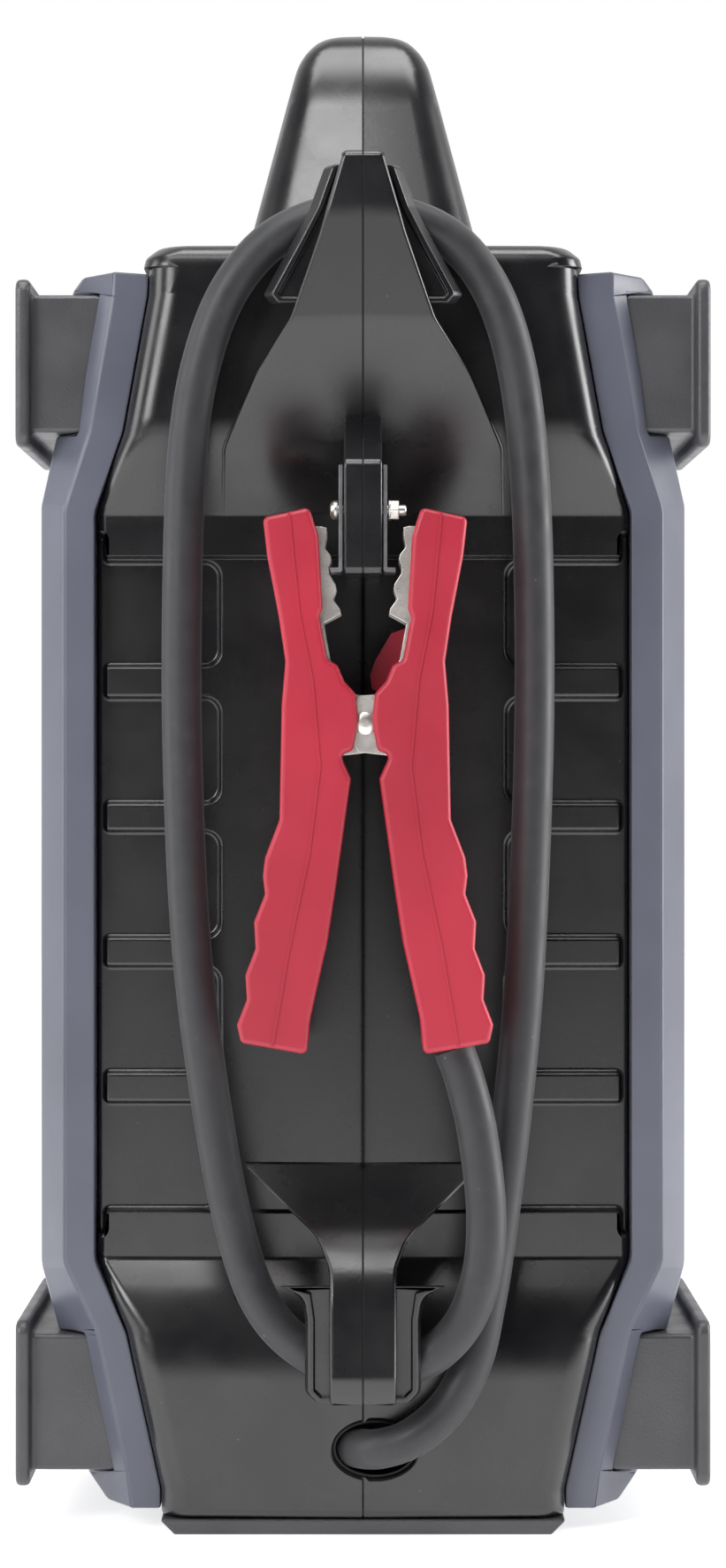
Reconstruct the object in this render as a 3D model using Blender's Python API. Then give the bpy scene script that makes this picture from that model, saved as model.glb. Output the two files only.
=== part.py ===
"""Jump starter pack: a two-half moulded case with a carry handle, two covers, corner feet,
cable winding hooks, a clamp stored on its holder, and the battery and controls inside.

The case stands on its base pad at Z = 0. The front, with the controls, faces +X.
The end with the stored cable faces -Y. Sizes below are millimetres.
"""
import math

import bmesh
import bpy
from mathutils import Matrix, Vector

MM = 0.001
GAP = 0.3
WALL = 3.0

# Case, seen from the end: half width against height.
CASE_BOTTOM = 4.8
CASE_TOP = 366.0
CASE_SIDE = [(57.4, 12.0), (67.2, 56.0), (76.3, 77.0), (76.3, 290.5), (68.2, 313.3), (61.2, 352.0),
             (60.7, 358.7), (69.0, 359.8), (68.0, 361.5), (58.5, 366.0)]
HANDLE_TOP = 435.0
HANDLE_SIDE = [(34.0, 366.0), (32.0, 371.0), (18.5, 427.0), (10.5, 435.0)]

# Case, seen from the front: half depth against height, with each corner's radius.
RECESS = 126.0
CASE_END = [(140.0, 4.8, 3.0), (140.0, 57.5, 9.0), (128.0, 77.0, 2.0), (128.0, 90.3, 0.0),
            (126.0, 90.8, 0.0), (126.0, 277.2, 0.0), (128.0, 277.7, 0.0), (128.0, 290.0, 2.0),
            (140.0, 309.8, 9.0), (140.0, 366.0, 6.0), (119.0, 366.0, 2.0), (100.0, 419.5, 4.0),
            (88.0, 435.0, 4.0)]
CAVITY_END = [(137.0, 7.8, 0.0), (137.0, 56.0, 0.0), (121.0, 79.0, 0.0), (121.0, 289.0, 0.0),
              (137.0, 312.0, 0.0), (137.0, 363.0, 0.0), (115.0, 363.0, 0.0), (97.0, 418.0, 0.0),
              (86.0, 432.0, 0.0)]
FINGER_HOLE = (74.0, 366.0, 403.0, 12.0)
GRIP_HALF_WIDTH = 17.0

# Shallow bays between the ribs of the recessed end panel.
BAY_DEPTH = 2.4
BAY_HEIGHTS = [(90.8, 121.4), (130.0, 160.4), (168.8, 199.2), (207.3, 237.5), (246.6, 276.5)]
BAY_INNER, BAY_OUTER = 41.0, 74.5

# Cable exit: the grommet's oval opening and rim, and its place through the end wall.
GROMMET_IN = (11.2, 7.4)
GROMMET_OUT = (13.2, 9.4)
GROMMET_X = 3.4
GROMMET_Z = 24.6
GROMMET_Y = (136.8, 140.8)

# Work light set into the front of the handle.
LAMP_Z = (408.5, 418.5)
LAMP_HALF_Y = 34.0
LAMP_POCKET = 6.0
LENS_X = (14.6, 18.2)
LAMP_BOARD_X = (11.4, 13.0)

# Covers: band edge and main face, half width against height.
COVER_INNER = [(61.1, 358.2), (61.5, 352.0), (68.5, 313.3), (76.6, 290.5), (76.6, 77.0),
               (67.5, 56.0), (57.7, 12.0), (57.7, 6.0)]
COVER_BAND = [(71.0, 359.2), (71.2, 352.0), (77.8, 314.0), (85.2, 291.0), (85.2, 76.5),
              (75.5, 56.0), (67.3, 17.0), (66.0, 6.0)]
COVER_FACE = [(81.0, 359.2), (84.0, 355.0), (88.5, 314.0), (93.1, 293.0), (93.1, 74.0),
              (88.0, 55.0), (79.5, 14.0), (74.0, 6.0)]
COVER_BAND_Y = 130.0
COVER_FACE_Y = 116.0

# Corner feet.
FOOT_Y = (36.0, 125.0)
FOOT_BLOCKS = {"upper": (313.5, 353.0), "lower": (16.0, 55.0)}
FOOT_OUT = 95.3
SOLE_OUT = 99.4
SOLE_RIM = 4.3
FOOT_INNER = 68.6
FOOT_WALL = 5.0

# Cable winding hooks, cut from an end profile and a front outline.
UPPER_HOOK_END = [(124.0, 288.0), (126.2, 288.0), (140.2, 309.8), (158.0, 342.0), (164.5, 372.0),
                  (165.5, 388.5), (157.5, 388.5), (153.6, 364.0), (151.0, 361.2), (137.5, 361.2),
                  (137.5, 312.5), (124.0, 290.0)]
UPPER_HOOK_FRONT = [(41.0, 288.0), (40.0, 308.0), (30.0, 328.5), (20.3, 342.8), (12.0, 366.0),
                    (6.4, 385.0), (5.8, 389.0)]
UPPER_RIM_FRONT = [(26.0, 347.0), (28.0, 349.5), (20.4, 363.4), (15.0, 373.8), (10.8, 385.6)]
UPPER_RIM_Y = (153.8, 157.4)
LOWER_HOOK_END = [(124.0, 104.5), (126.2, 104.5), (152.0, 86.5), (161.5, 76.0), (166.0, 66.0),
                  (166.0, 41.0), (162.0, 41.0), (158.8, 43.0), (158.8, 66.0), (155.0, 68.5),
                  (134.5, 68.5), (124.0, 82.0)]
LOWER_HOOK_FRONT = [(35.0, 105.0), (33.5, 103.0), (12.8, 86.0), (9.4, 79.0), (9.2, 40.0)]
LOWER_RIM_FRONT = [(23.5, 73.5), (17.5, 70.0), (16.3, 66.0), (16.3, 44.0), (14.0, 41.5)]
LOWER_RIM_Y = (157.8, 160.8)

# Clamp holder post with its plates and bolt.
POST_HALF = 5.3
POST_END = [(124.0, 270.8), (169.0, 270.8), (170.2, 272.0), (170.2, 302.0), (143.0, 317.0),
            (124.0, 317.0)]
PLATE_THICK = 1.1
PLATE_Z = (271.5, 301.0)
PLATE_Y = (147.5, 169.0)
TAB_REACH = 9.0
TAB_THICK = 1.2
BOLT_Z = 289.0
BOLT_Y = 160.0
BOLT_RADIUS = 1.5
HEAD_RADIUS = 2.7
HEAD_HEIGHT = 2.2

# Clamp: outline of the right half round the pivot, in the end view.
CLAMP_X = 0.6
PIVOT_Z = 229.8
CLAMP_Y = (145.2, 171.0)
CHEEK = 2.6
HALF_OUTLINE = [(12.9, 51.7), (15.4, 59.4), (28.2, 56.6), (27.0, 46.0), (23.8, 29.3),
                (22.0, 17.0), (23.0, 5.0), (23.6, -26.5), (27.6, -37.0), (28.2, -42.0),
                (27.6, -47.0), (30.6, -54.6), (30.2, -62.0), (33.0, -69.3), (32.6, -76.0),
                (35.3, -83.0), (34.2, -88.0), (16.0, -91.2), (15.2, -82.0), (10.4, -60.6),
                (8.2, -46.3), (3.9, -15.3), (6.9, -8.6), (3.4, -7.6), (2.3, -2.0), (2.0, 2.2),
                (2.6, 8.1), (5.7, 11.5), (7.6, 16.0), (10.4, 17.5), (12.6, 29.3), (11.7, 31.5)]
JAW_Y = {"right": (148.2, 168.0), "left": (149.8, 166.4)}
JAW_SHEET = 1.2
JAW_TEETH = [(11.4, 27.6), (6.6, 30.2), (6.9, 31.6), (8.8, 34.3), (7.9, 37.0), (8.1, 38.4),
             (10.0, 41.4), (10.0, 43.2), (9.3, 45.0), (9.5, 46.4), (11.2, 48.6), (10.6, 52.0),
             (10.6, 54.0), (12.4, 54.4)]
PIN_RADIUS = 2.4
SPRING_RADIUS = 4.6
SPRING_WIRE = 1.5
SPRING_TURNS = 4

# Cable route round the hooks (X, Y, Z), from inside the case to the clamp.
CABLE_RADIUS = 5.6
CABLE_ROUTE = [(-5.5, -124.5, 23.8), (-1.6, -135.2, 24.2), (4.8, -144.2, 25.6),
               (14.0, -147.8, 29.4), (24.0, -147.2, 38.0), (31.0, -146.2, 51.0),
               (34.5, -144.8, 66.0), (37.5, -143.8, 84.0), (41.5, -144.5, 116.0),
               (45.5, -145.6, 160.0), (48.0, -146.3, 222.0), (48.0, -146.6, 270.0),
               (46.5, -146.8, 305.0), (43.0, -146.8, 331.0), (36.5, -147.0, 351.0),
               (26.0, -147.0, 365.0), (13.0, -147.0, 371.8), (0.0, -147.0, 373.6),
               (-13.0, -147.0, 371.8), (-26.5, -147.0, 365.0), (-38.0, -146.9, 351.0),
               (-45.5, -146.8, 331.0), (-49.3, -146.7, 307.0), (-50.8, -146.4, 270.0),
               (-50.8, -146.0, 222.0), (-48.5, -145.6, 170.0), (-43.5, -145.6, 128.0),
               (-37.0, -146.4, 92.0), (-29.0, -148.4, 68.0), (-16.5, -150.2, 54.5),
               (0.0, -150.2, 48.6), (15.5, -151.2, 51.0), (27.0, -154.2, 61.0),
               (33.0, -156.4, 76.0), (34.3, -157.4, 94.0), (31.8, -158.0, 116.0),
               (28.2, -158.1, 131.0), (25.2, -158.1, 139.4)]
CABLE_POINTS = 78

# Battery, laid along the case, with what is strapped and wired to it.
BATTERY = (77.0, 181.0, 158.0)
BATTERY_Z = 9.0
TERMINAL_Y = 70.0
TERMINAL_X = (-24.0, -12.0)
TERMINAL_HEIGHT = 12.0
STRAP_HALF = 12.0
STRAP_THICK = 2.5
CONTROL_BOARD = ((54.0, 55.6), (-70.0, 70.0), (178.0, 268.0))

# Controls on the front cover.
PANEL_Y = (-78.0, 78.0)
PANEL_Z = (120.0, 262.0)
PANEL_FACE = 93.6
DISPLAY = (-38.0, 218.0, 52.0, 24.0)
SWITCH = (36.0, 222.0)
TEST_BUTTON = (-50.0, 190.0)
LIGHT_BUTTON = (-26.0, 190.0)
POWER_SOCKET = (-40.0, 150.0)
USB_SOCKET = (8.0, 150.0)
CHARGE_INLET = (48.0, 150.0)
SOCKET_RADIUS = 14.2
SWITCH_BODY_RADIUS = 22.0
CAP_THICK = 2.2

COLOURS = {
    "black": ((0.012, 0.012, 0.013), 0.45, 0.0),
    "grey_blue": ((0.20, 0.22, 0.27), 0.42, 0.0),
    "rubber": ((0.02, 0.02, 0.022), 0.7, 0.0),
    "red": ((0.55, 0.03, 0.06), 0.4, 0.0),
    "steel": ((0.62, 0.61, 0.58), 0.3, 1.0),
    "cable": ((0.03, 0.03, 0.034), 0.6, 0.0),
    "battery": ((0.05, 0.06, 0.09), 0.5, 0.0),
    "board": ((0.02, 0.16, 0.06), 0.5, 0.0),
    "window": ((0.02, 0.03, 0.03), 0.1, 0.0),
    "lens": ((0.85, 0.88, 0.9), 0.1, 0.0),
    "copper": ((0.75, 0.45, 0.25), 0.35, 1.0),
}


def clear_scene():
    for obj in list(bpy.data.objects):
        bpy.data.objects.remove(obj)


def material(key):
    name = "mat_" + key
    found = bpy.data.materials.get(name)
    if found:
        return found
    colour, roughness, metallic = COLOURS[key]
    made = bpy.data.materials.new(name)
    made.use_nodes = True
    shader = made.node_tree.nodes["Principled BSDF"]
    shader.inputs["Base Color"].default_value = (*colour, 1.0)
    shader.inputs["Roughness"].default_value = roughness
    shader.inputs["Metallic"].default_value = metallic
    return made


def rounded(points, steps=3):
    """Outline with each (a, b, radius) corner replaced by an arc."""
    outline = []
    count = len(points)
    for index, (a, b, radius) in enumerate(points):
        corner = Vector((a, b))
        if radius <= 0.0:
            outline.append((a, b))
            continue
        before = Vector(points[index - 1][:2]) - corner
        after = Vector(points[(index + 1) % count][:2]) - corner
        before.normalize()
        after.normalize()
        half = before.angle(after) / 2.0
        reach = radius / math.tan(half)
        centre = corner + (before + after).normalized() * (radius / math.sin(half))
        start = corner + before * reach - centre
        end = corner + after * reach - centre
        turn = start.angle_signed(end)
        for step in range(steps + 1):
            spoke = start.copy()
            spoke.rotate(Matrix.Rotation(-turn * step / steps, 2))
            outline.append(tuple(centre + spoke))
    return outline


def mirrored(half):
    """Closed outline from a half outline that runs bottom to top at positive values."""
    return list(half) + [(-point[0], *point[1:]) for point in reversed(half)]


def link(name, builder):
    mesh = bpy.data.meshes.new(name)
    bmesh.ops.recalc_face_normals(builder, faces=builder.faces)
    builder.to_mesh(mesh)
    builder.free()
    obj = bpy.data.objects.new(name, mesh)
    bpy.context.scene.collection.objects.link(obj)
    return obj


def prism(name, outline, axis, low, high):
    """Extrude an outline along X (y, z), Y (x, z) or Z (x, y)."""
    place = {"X": lambda a, b, c: (c, a, b), "Y": lambda a, b, c: (a, c, b),
             "Z": lambda a, b, c: (a, b, c)}[axis]
    rings = [[place(a, b, level) for a, b in outline] for level in (low, high)]
    return loft(name, rings)


def loft(name, rings):
    builder = bmesh.new()
    rows = [[builder.verts.new(Vector(point) * MM) for point in ring] for ring in rings]
    for lower, upper in zip(rows, rows[1:]):
        for index in range(len(lower)):
            follow = (index + 1) % len(lower)
            builder.faces.new((lower[index], lower[follow], upper[follow], upper[index]))
    builder.faces.new(rows[0])
    builder.faces.new(rows[-1])
    return link(name, builder)


def block(name, x, y, z):
    return prism(name, [(x[0], y[0]), (x[1], y[0]), (x[1], y[1]), (x[0], y[1])], "Z", z[0], z[1])


def circle(centre, radius, sides):
    return [(centre[0] + radius * math.cos(2 * math.pi * index / sides),
             centre[1] + radius * math.sin(2 * math.pi * index / sides)) for index in range(sides)]


def disc(name, axis, centre, radius, low, high, sides=20):
    return prism(name, circle(centre, radius, sides), axis, low, high)


def combine(target, tool, operation):
    """Apply a Boolean of tool to target and drop the tool."""
    modifier = target.modifiers.new("combine", "BOOLEAN")
    modifier.operation = operation
    modifier.object = tool
    modifier.solver = "EXACT"
    bpy.context.view_layer.update()
    evaluated = target.evaluated_get(bpy.context.evaluated_depsgraph_get())
    mesh = bpy.data.meshes.new_from_object(evaluated)
    target.modifiers.clear()
    target.data = mesh
    bpy.data.objects.remove(tool)
    return target


def cut(target, *tools):
    for tool in tools:
        combine(target, tool, "DIFFERENCE")
    return target


def fuse(target, *tools):
    for tool in tools:
        combine(target, tool, "UNION")
    return target


def common(target, tool):
    return combine(target, tool, "INTERSECT")


def finish(obj, key):
    obj.data.materials.clear()
    obj.data.materials.append(material(key))
    obj.data.shade_smooth()
    obj.data.set_sharp_from_angle(angle=math.radians(30))
    return obj


def copy_of(obj, name):
    twin = obj.copy()
    twin.data = obj.data.copy()
    twin.name = name
    bpy.context.scene.collection.objects.link(twin)
    return twin


def pivot_at(obj, point):
    """Move a piece's origin onto its joint axis, its shape staying in place."""
    offset = Vector(point) * MM
    obj.data.transform(Matrix.Translation(-offset))
    obj.location = offset
    return obj


# Case --------------------------------------------------------------------------------------

def case_solid(name, inset=0.0):
    half = [(x - inset, z) for x, z in CASE_SIDE]
    handle = [(x - inset, z) for x, z in HANDLE_SIDE]
    if inset:
        half = [(half[0][0], CASE_BOTTOM + inset)] + half[:6] + [(55.0, CASE_TOP - inset)]
        handle[0] = (handle[0][0], CASE_TOP - inset)
        handle[-1] = (8.0, HANDLE_TOP - inset)
        end = rounded(mirrored(CAVITY_END))
    else:
        half = [(57.4, CASE_BOTTOM)] + half
        end = rounded(mirrored(CASE_END))
    solid = prism(name, mirrored(half + handle), "Y", -150.0, 150.0)
    return common(solid, prism("end", end, "X", -100.0, 100.0))


def finger_hole(name, wall=0.0):
    reach, low, high, radius = FINGER_HOLE
    corners = [(-reach - wall, low - wall, 0.0), (reach + wall, low - wall, 0.0),
               (reach + wall, high + wall, radius), (-reach - wall, high + wall, radius)]
    return prism(name, rounded(corners), "X", -100.0, 100.0)


def grip_relief(name, side):
    inner = side * GRIP_HALF_WIDTH
    outer = side * 60.0
    low, high = sorted((inner, outer))
    corners = [(-68.0, 370.0, 0.0), (68.0, 370.0, 0.0), (60.0, 440.0, 0.0), (-60.0, 440.0, 0.0)]
    return prism(name, rounded(corners), "X", low, high)


def hook(name, end_profile, front, rim_front, rim_y, side):
    """One winding hook: a tapered plate with a wider rim behind its lip."""
    end = [(side * d, z) for d, z in end_profile]
    plate = prism(name, end, "X", -60.0, 60.0)
    plate = common(plate, prism("front", mirrored(front), "Y", -200.0, 200.0))
    low, high = sorted((side * rim_y[0], side * rim_y[1]))
    rim = prism("rim", mirrored(rim_front), "Y", low, high)
    return fuse(plate, rim)


def post(name, side):
    end = [(side * d, z) for d, z in POST_END]
    return prism(name, end, "X", -POST_HALF, POST_HALF)


def bays(side):
    """Cutters that sink the bays between the ribs of one end panel."""
    made = []
    low, high = sorted((side * (RECESS - BAY_DEPTH), side * (RECESS + 20.0)))
    for bottom, top in BAY_HEIGHTS:
        for hand in (-1, 1):
            inner = hand * BAY_INNER
            outer = hand * BAY_OUTER
            corners = [(inner, bottom, 4.0), (outer, bottom, 1.0), (outer, top, 1.0),
                       (inner, top, 4.0)]
            made.append(prism("bay", rounded(corners, 2), "Y", low, high))
    return made


def case():
    body = case_solid("case")
    cut(body, finger_hole("hole"), grip_relief("relief", 1), grip_relief("relief", -1))
    for side in (-1, 1):
        cut(body, *bays(side))
        fuse(body, hook("upper", UPPER_HOOK_END, UPPER_HOOK_FRONT, UPPER_RIM_FRONT,
                        UPPER_RIM_Y, side))
        fuse(body, hook("lower", LOWER_HOOK_END, LOWER_HOOK_FRONT, LOWER_RIM_FRONT,
                        LOWER_RIM_Y, side))
        fuse(body, post("post", side))
        hole = circle((0.0, BOLT_Z), BOLT_RADIUS + GAP, 12)
        bore = [(side * BOLT_Y + a, b) for a, b in hole]
        cut(body, prism("bore", bore, "X", -20.0, 20.0))
    cavity = case_solid("cavity", WALL)
    cut(cavity, finger_hole("hole", WALL))
    cut(cavity, cavity_relief(1), cavity_relief(-1))
    cut(body, cavity)
    for side in (-1, 1):
        low, high = sorted((side * 130.0, side * 150.0))
        outline = oval(GROMMET_OUT[0] + GAP, GROMMET_OUT[1] + GAP)
        cut(body, prism("exit", outline, "Y", low, high))
    cut(body, lamp_pocket())
    cut(body, disc("socket_way", "X", POWER_SOCKET, SOCKET_RADIUS + 1.0, 70.0, 80.0, 24))
    cut(body, disc("switch_way", "X", SWITCH, SWITCH_BODY_RADIUS + 1.0, 70.0, 80.0, 24))
    rear = copy_of(body, "rear_shell")
    common(rear, block("half", (-200.0, -GAP / 2), (-200.0, 200.0), (-10.0, 500.0)))
    common(body, block("half", (GAP / 2, 200.0), (-200.0, 200.0), (-10.0, 500.0)))
    body.name = "front_shell"
    finish(body, "black")
    finish(rear, "black")


def cavity_relief(side):
    inner = side * (GRIP_HALF_WIDTH - WALL)
    low, high = sorted((inner, side * 60.0))
    corners = [(-71.0, 370.0), (71.0, 370.0), (63.0, 440.0), (-63.0, 440.0)]
    return prism("relief", corners, "X", low, high)


def oval(half_x, half_z, sides=24):
    return [(GROMMET_X + half_x * math.cos(2 * math.pi * index / sides),
             GROMMET_Z + half_z * math.sin(2 * math.pi * index / sides))
            for index in range(sides)]


def grommets():
    for name, side in (("near_cable_grommet", -1), ("far_cable_grommet", 1)):
        low, high = sorted((side * GROMMET_Y[0], side * GROMMET_Y[1]))
        ring = prism(name, oval(*GROMMET_OUT), "Y", low, high)
        cut(ring, prism("way", oval(*GROMMET_IN), "Y", low - 5.0, high + 5.0))
        finish(ring, "rubber")


# Work light in the front slope of the handle ------------------------------------------------

def lamp_pocket():
    back = GRIP_HALF_WIDTH - LAMP_POCKET
    return block("lamp", (back, 60.0), (-LAMP_HALF_Y, LAMP_HALF_Y), LAMP_Z)


def work_light():
    inner_y = LAMP_HALF_Y - GAP
    z = (LAMP_Z[0] + GAP, LAMP_Z[1] - GAP)
    finish(block("lamp_lens", LENS_X, (-inner_y, inner_y), z), "lens")
    finish(block("lamp_board", LAMP_BOARD_X, (-inner_y, inner_y), z), "board")


# Covers and feet ----------------------------------------------------------------------------

def cover(name, side):
    """One wrap-around cover: a shallow tray lofted across the case."""
    outer = []
    for y, edge in ((-COVER_BAND_Y, COVER_BAND), (-COVER_FACE_Y, COVER_FACE),
                    (COVER_FACE_Y, COVER_FACE), (COVER_BAND_Y, COVER_BAND)):
        ring = COVER_INNER + list(reversed(edge))
        outer.append([(side * x, y, z) for x, z in ring])
    tray = loft(name, outer)
    hollow = []
    for y in (-COVER_FACE_Y, COVER_FACE_Y):
        face = [(x - WALL, min(max(z, 6.0 + WALL), 359.2 - WALL)) for x, z in COVER_FACE]
        ring = [(40.0, 359.2 - WALL)] + [(40.0, 9.0)] + list(reversed(face))
        hollow.append([(side * x, y, z) for x, z in ring])
    cut(tray, loft("hollow", hollow))
    return tray


def covers():
    front = cover("front_cover", 1)
    window_y = (PANEL_Y[0] - GAP, PANEL_Y[1] + GAP)
    window_z = (PANEL_Z[0] - GAP, PANEL_Z[1] + GAP)
    cut(front, block("window", (80.0, 120.0), window_y, window_z))
    rear = cover("rear_cover", -1)
    for obj in (front, rear):
        cut(obj, *foot_cutters(1 if obj is front else -1))
        finish(obj, "grey_blue")


def foot_boxes():
    for level, (low, high) in FOOT_BLOCKS.items():
        for hand, (near, far) in (("left", (-FOOT_Y[1], -FOOT_Y[0])), ("right", FOOT_Y)):
            yield level + "_" + hand, (near, far), (low, high)


def foot_cutters(side):
    made = []
    for _, (near, far), (low, high) in foot_boxes():
        x = sorted((side * (FOOT_INNER - GAP), side * 120.0))
        made.append(block("foot_cut", x, (near - GAP, far + GAP), (low - GAP, high + GAP)))
    return made


def feet():
    """Corner bumpers that plug into the covers, each ending in a wider sole."""
    for end, side in (("front", 1), ("rear", -1)):
        for place, (near, far), (low, high) in foot_boxes():
            name = "foot_" + end + "_" + place
            x = sorted((side * FOOT_INNER, side * (FOOT_OUT + 0.5)))
            foot = block(name, x, (near, far), (low, high))
            x = sorted((side * (FOOT_INNER - 5.0), side * (FOOT_OUT - WALL)))
            cut(foot, block("core", x, (near + FOOT_WALL, far - FOOT_WALL),
                            (low + FOOT_WALL, high - FOOT_WALL)))
            x = sorted((side * FOOT_OUT, side * SOLE_OUT))
            sole = block("sole", x, (near - SOLE_RIM, far + SOLE_RIM),
                         (low - SOLE_RIM, high + SOLE_RIM))
            fuse(foot, sole)
            finish(foot, "rubber")


def base_pad():
    outline = [(-53.5, 0.0), (53.5, 0.0), (58.0, 4.5), (-58.0, 4.5)]
    finish(prism("base_pad", outline, "Y", -137.5, 137.5), "rubber")


# Clamp holder hardware ----------------------------------------------------------------------

def holder_hardware():
    for place, side in (("near", -1), ("far", 1)):
        for hand_name, hand in (("left", -1), ("right", 1)):
            inner = POST_HALF + GAP
            outer = inner + PLATE_THICK
            low_y, high_y = sorted((side * PLATE_Y[0], side * PLATE_Y[1]))
            sheet = [(hand * inner, PLATE_Z[0]), (hand * TAB_REACH, PLATE_Z[0]),
                     (hand * TAB_REACH, PLATE_Z[0] + TAB_THICK),
                     (hand * outer, PLATE_Z[0] + TAB_THICK),
                     (hand * outer, PLATE_Z[1]), (hand * inner, PLATE_Z[1])]
            plate = prism(place + "_holder_plate_" + hand_name, sheet, "Y", low_y, high_y)
            centre = (side * BOLT_Y, BOLT_Z)
            cut(plate, disc("hole", "X", centre, BOLT_RADIUS + GAP, -20.0, 20.0, 12))
            finish(plate, "steel")
        face = POST_HALF + PLATE_THICK + 2 * GAP
        centre = (side * BOLT_Y, BOLT_Z)
        bolt = disc(place + "_holder_bolt", "X", centre, BOLT_RADIUS, -face - 0.5, face + 5.0, 12)
        head = disc("head", "X", centre, HEAD_RADIUS, -face - HEAD_HEIGHT, -face, 16)
        finish(fuse(bolt, head), "steel")
        nut = disc(place + "_holder_nut", "X", centre, HEAD_RADIUS + 0.3, face, face + 3.2, 6)
        cut(nut, disc("thread", "X", centre, BOLT_RADIUS + GAP, 0.0, 20.0, 12))
        finish(nut, "steel")


# Clamp --------------------------------------------------------------------------------------

def clamp_half(hand_name, hand):
    outline = [(CLAMP_X + hand * x, PIVOT_Z + z) for x, z in HALF_OUTLINE]
    half = prism("clamp_" + hand_name + "_half", outline, "Y", -CLAMP_Y[1], -CLAMP_Y[0])
    pocket = [(-2.0, 60.5), (12.0, 64.0), (25.2, 62.0), (25.2, 46.0), (21.2, 29.3), (19.6, 17.0),
              (20.4, 5.0), (20.8, -27.5), (24.0, -40.0), (27.0, -60.0), (29.5, -78.0),
              (14.0, -78.0), (4.0, -45.0), (0.0, -20.0), (-2.0, 0.0)]
    shape = [(CLAMP_X + hand * x, PIVOT_Z + z) for x, z in pocket]
    cut(half, prism("pocket", shape, "Y", -CLAMP_Y[1] + CHEEK, -CLAMP_Y[0] - CHEEK))
    if hand_name == "right":
        hole = [(CLAMP_X + x, y) for x, y in circle((24.6, -158.1), CABLE_RADIUS + GAP, 14)]
        cut(half, prism("cable_way", hole, "Z", PIVOT_Z - 110.0, PIVOT_Z - 76.0))
    return finish(half, "red")


def jaw(hand_name, hand):
    """Folded steel jaw with toothed edges and two ears on the pivot pin."""
    low, high = JAW_Y[hand_name]
    back = [(23.8, 54.0), (24.6, 46.0), (20.6, 29.3), (18.9, 17.0), (19.6, 5.0), (19.6, -22.0),
            (12.0, -24.0)]
    ear = [(7.0, -8.0), (-2.6, -5.2), (-5.2, 0.0), (-2.6, 5.2), (8.8, 17.0)]
    outline = JAW_TEETH + back + ear
    shape = [(CLAMP_X + hand * x, PIVOT_Z + z) for x, z in outline]
    sheet = prism("clamp_" + hand_name + "_jaw", shape, "Y", -high, -low)
    inside = [(-10.0, 70.0), (22.6, 70.0), (23.2, 46.0), (19.2, 29.3), (17.5, 17.0), (18.2, 5.0),
              (18.2, -30.0), (-10.0, -30.0)]
    hollow = [(CLAMP_X + hand * x, PIVOT_Z + z) for x, z in inside]
    cut(sheet, prism("hollow", hollow, "Y", -high + JAW_SHEET, -low - JAW_SHEET))
    cut(sheet, disc("hole", "Y", (CLAMP_X, PIVOT_Z), PIN_RADIUS + GAP, -200.0, -100.0, 16))
    return finish(sheet, "steel")


def clamp():
    clamp_half("right", 1)
    jaw("right", 1)
    left = clamp_half("left", -1)
    left_jaw = jaw("left", -1)
    pivot = (CLAMP_X, -158.1, PIVOT_Z)
    pivot_at(left, pivot)
    pivot_at(left_jaw, pivot)
    pin = disc("clamp_pivot_pin", "Y", (CLAMP_X, PIVOT_Z), PIN_RADIUS, -168.3, -147.9, 16)
    finish(pin, "steel")
    spring()


def spring():
    """Torsion spring round the pivot pin, its two legs resting in the jaws."""
    steps = 12
    points = []
    start = math.radians(-60.0)
    span = 2.0 * math.pi * SPRING_TURNS + math.radians(60.0)
    count = SPRING_TURNS * steps
    for index in range(count + 1):
        share = index / count
        angle = start - span * share
        y = -153.6 - 8.6 * share
        points.append((CLAMP_X + SPRING_RADIUS * math.cos(angle), y,
                       PIVOT_Z + SPRING_RADIUS * math.sin(angle)))
    first, last = Vector(points[0]), Vector(points[-1])
    points.insert(0, tuple(first + Vector((8.5, 0.0, -5.0))))
    points.append(tuple(last + Vector((-8.5, 0.0, -5.0))))
    tube("clamp_spring", points, SPRING_WIRE / 2.0, 2, "steel")


# Cable --------------------------------------------------------------------------------------

def smooth_route(points, count):
    """Evenly spaced points on a smooth curve through the route."""
    knots = [Vector(point) for point in points]
    ends = [knots[0] * 2 - knots[1]] + knots + [knots[-1] * 2 - knots[-2]]
    fine = []
    for index in range(1, len(ends) - 2):
        a, b, c, d = ends[index - 1:index + 3]
        for step in range(12):
            t = step / 12.0
            fine.append(0.5 * ((2 * b) + (c - a) * t + (2 * a - 5 * b + 4 * c - d) * t * t
                               + (3 * b - a - 3 * c + d) * t ** 3))
    fine.append(knots[-1])
    lengths = [0.0]
    for before, after in zip(fine, fine[1:]):
        lengths.append(lengths[-1] + (after - before).length)
    spaced = []
    place = 0
    for index in range(count):
        goal = lengths[-1] * index / (count - 1)
        while place < len(fine) - 2 and lengths[place + 1] < goal:
            place += 1
        share = (goal - lengths[place]) / (lengths[place + 1] - lengths[place])
        spaced.append(tuple(fine[place].lerp(fine[place + 1], share)))
    return spaced


def tube(name, points, radius, resolution, key):
    curve = bpy.data.curves.new(name, "CURVE")
    curve.dimensions = "3D"
    curve.bevel_depth = radius * MM
    curve.bevel_resolution = resolution
    curve.use_fill_caps = True
    spline = curve.splines.new("POLY")
    spline.points.add(len(points) - 1)
    for slot, point in zip(spline.points, points):
        slot.co = (*(Vector(point) * MM), 1.0)
    curve.materials.append(material(key))
    obj = bpy.data.objects.new(name, curve)
    bpy.context.scene.collection.objects.link(obj)
    return obj


def cable():
    tube("positive_cable", smooth_route(CABLE_ROUTE, CABLE_POINTS), CABLE_RADIUS, 3, "cable")


# Inside -------------------------------------------------------------------------------------

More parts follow.
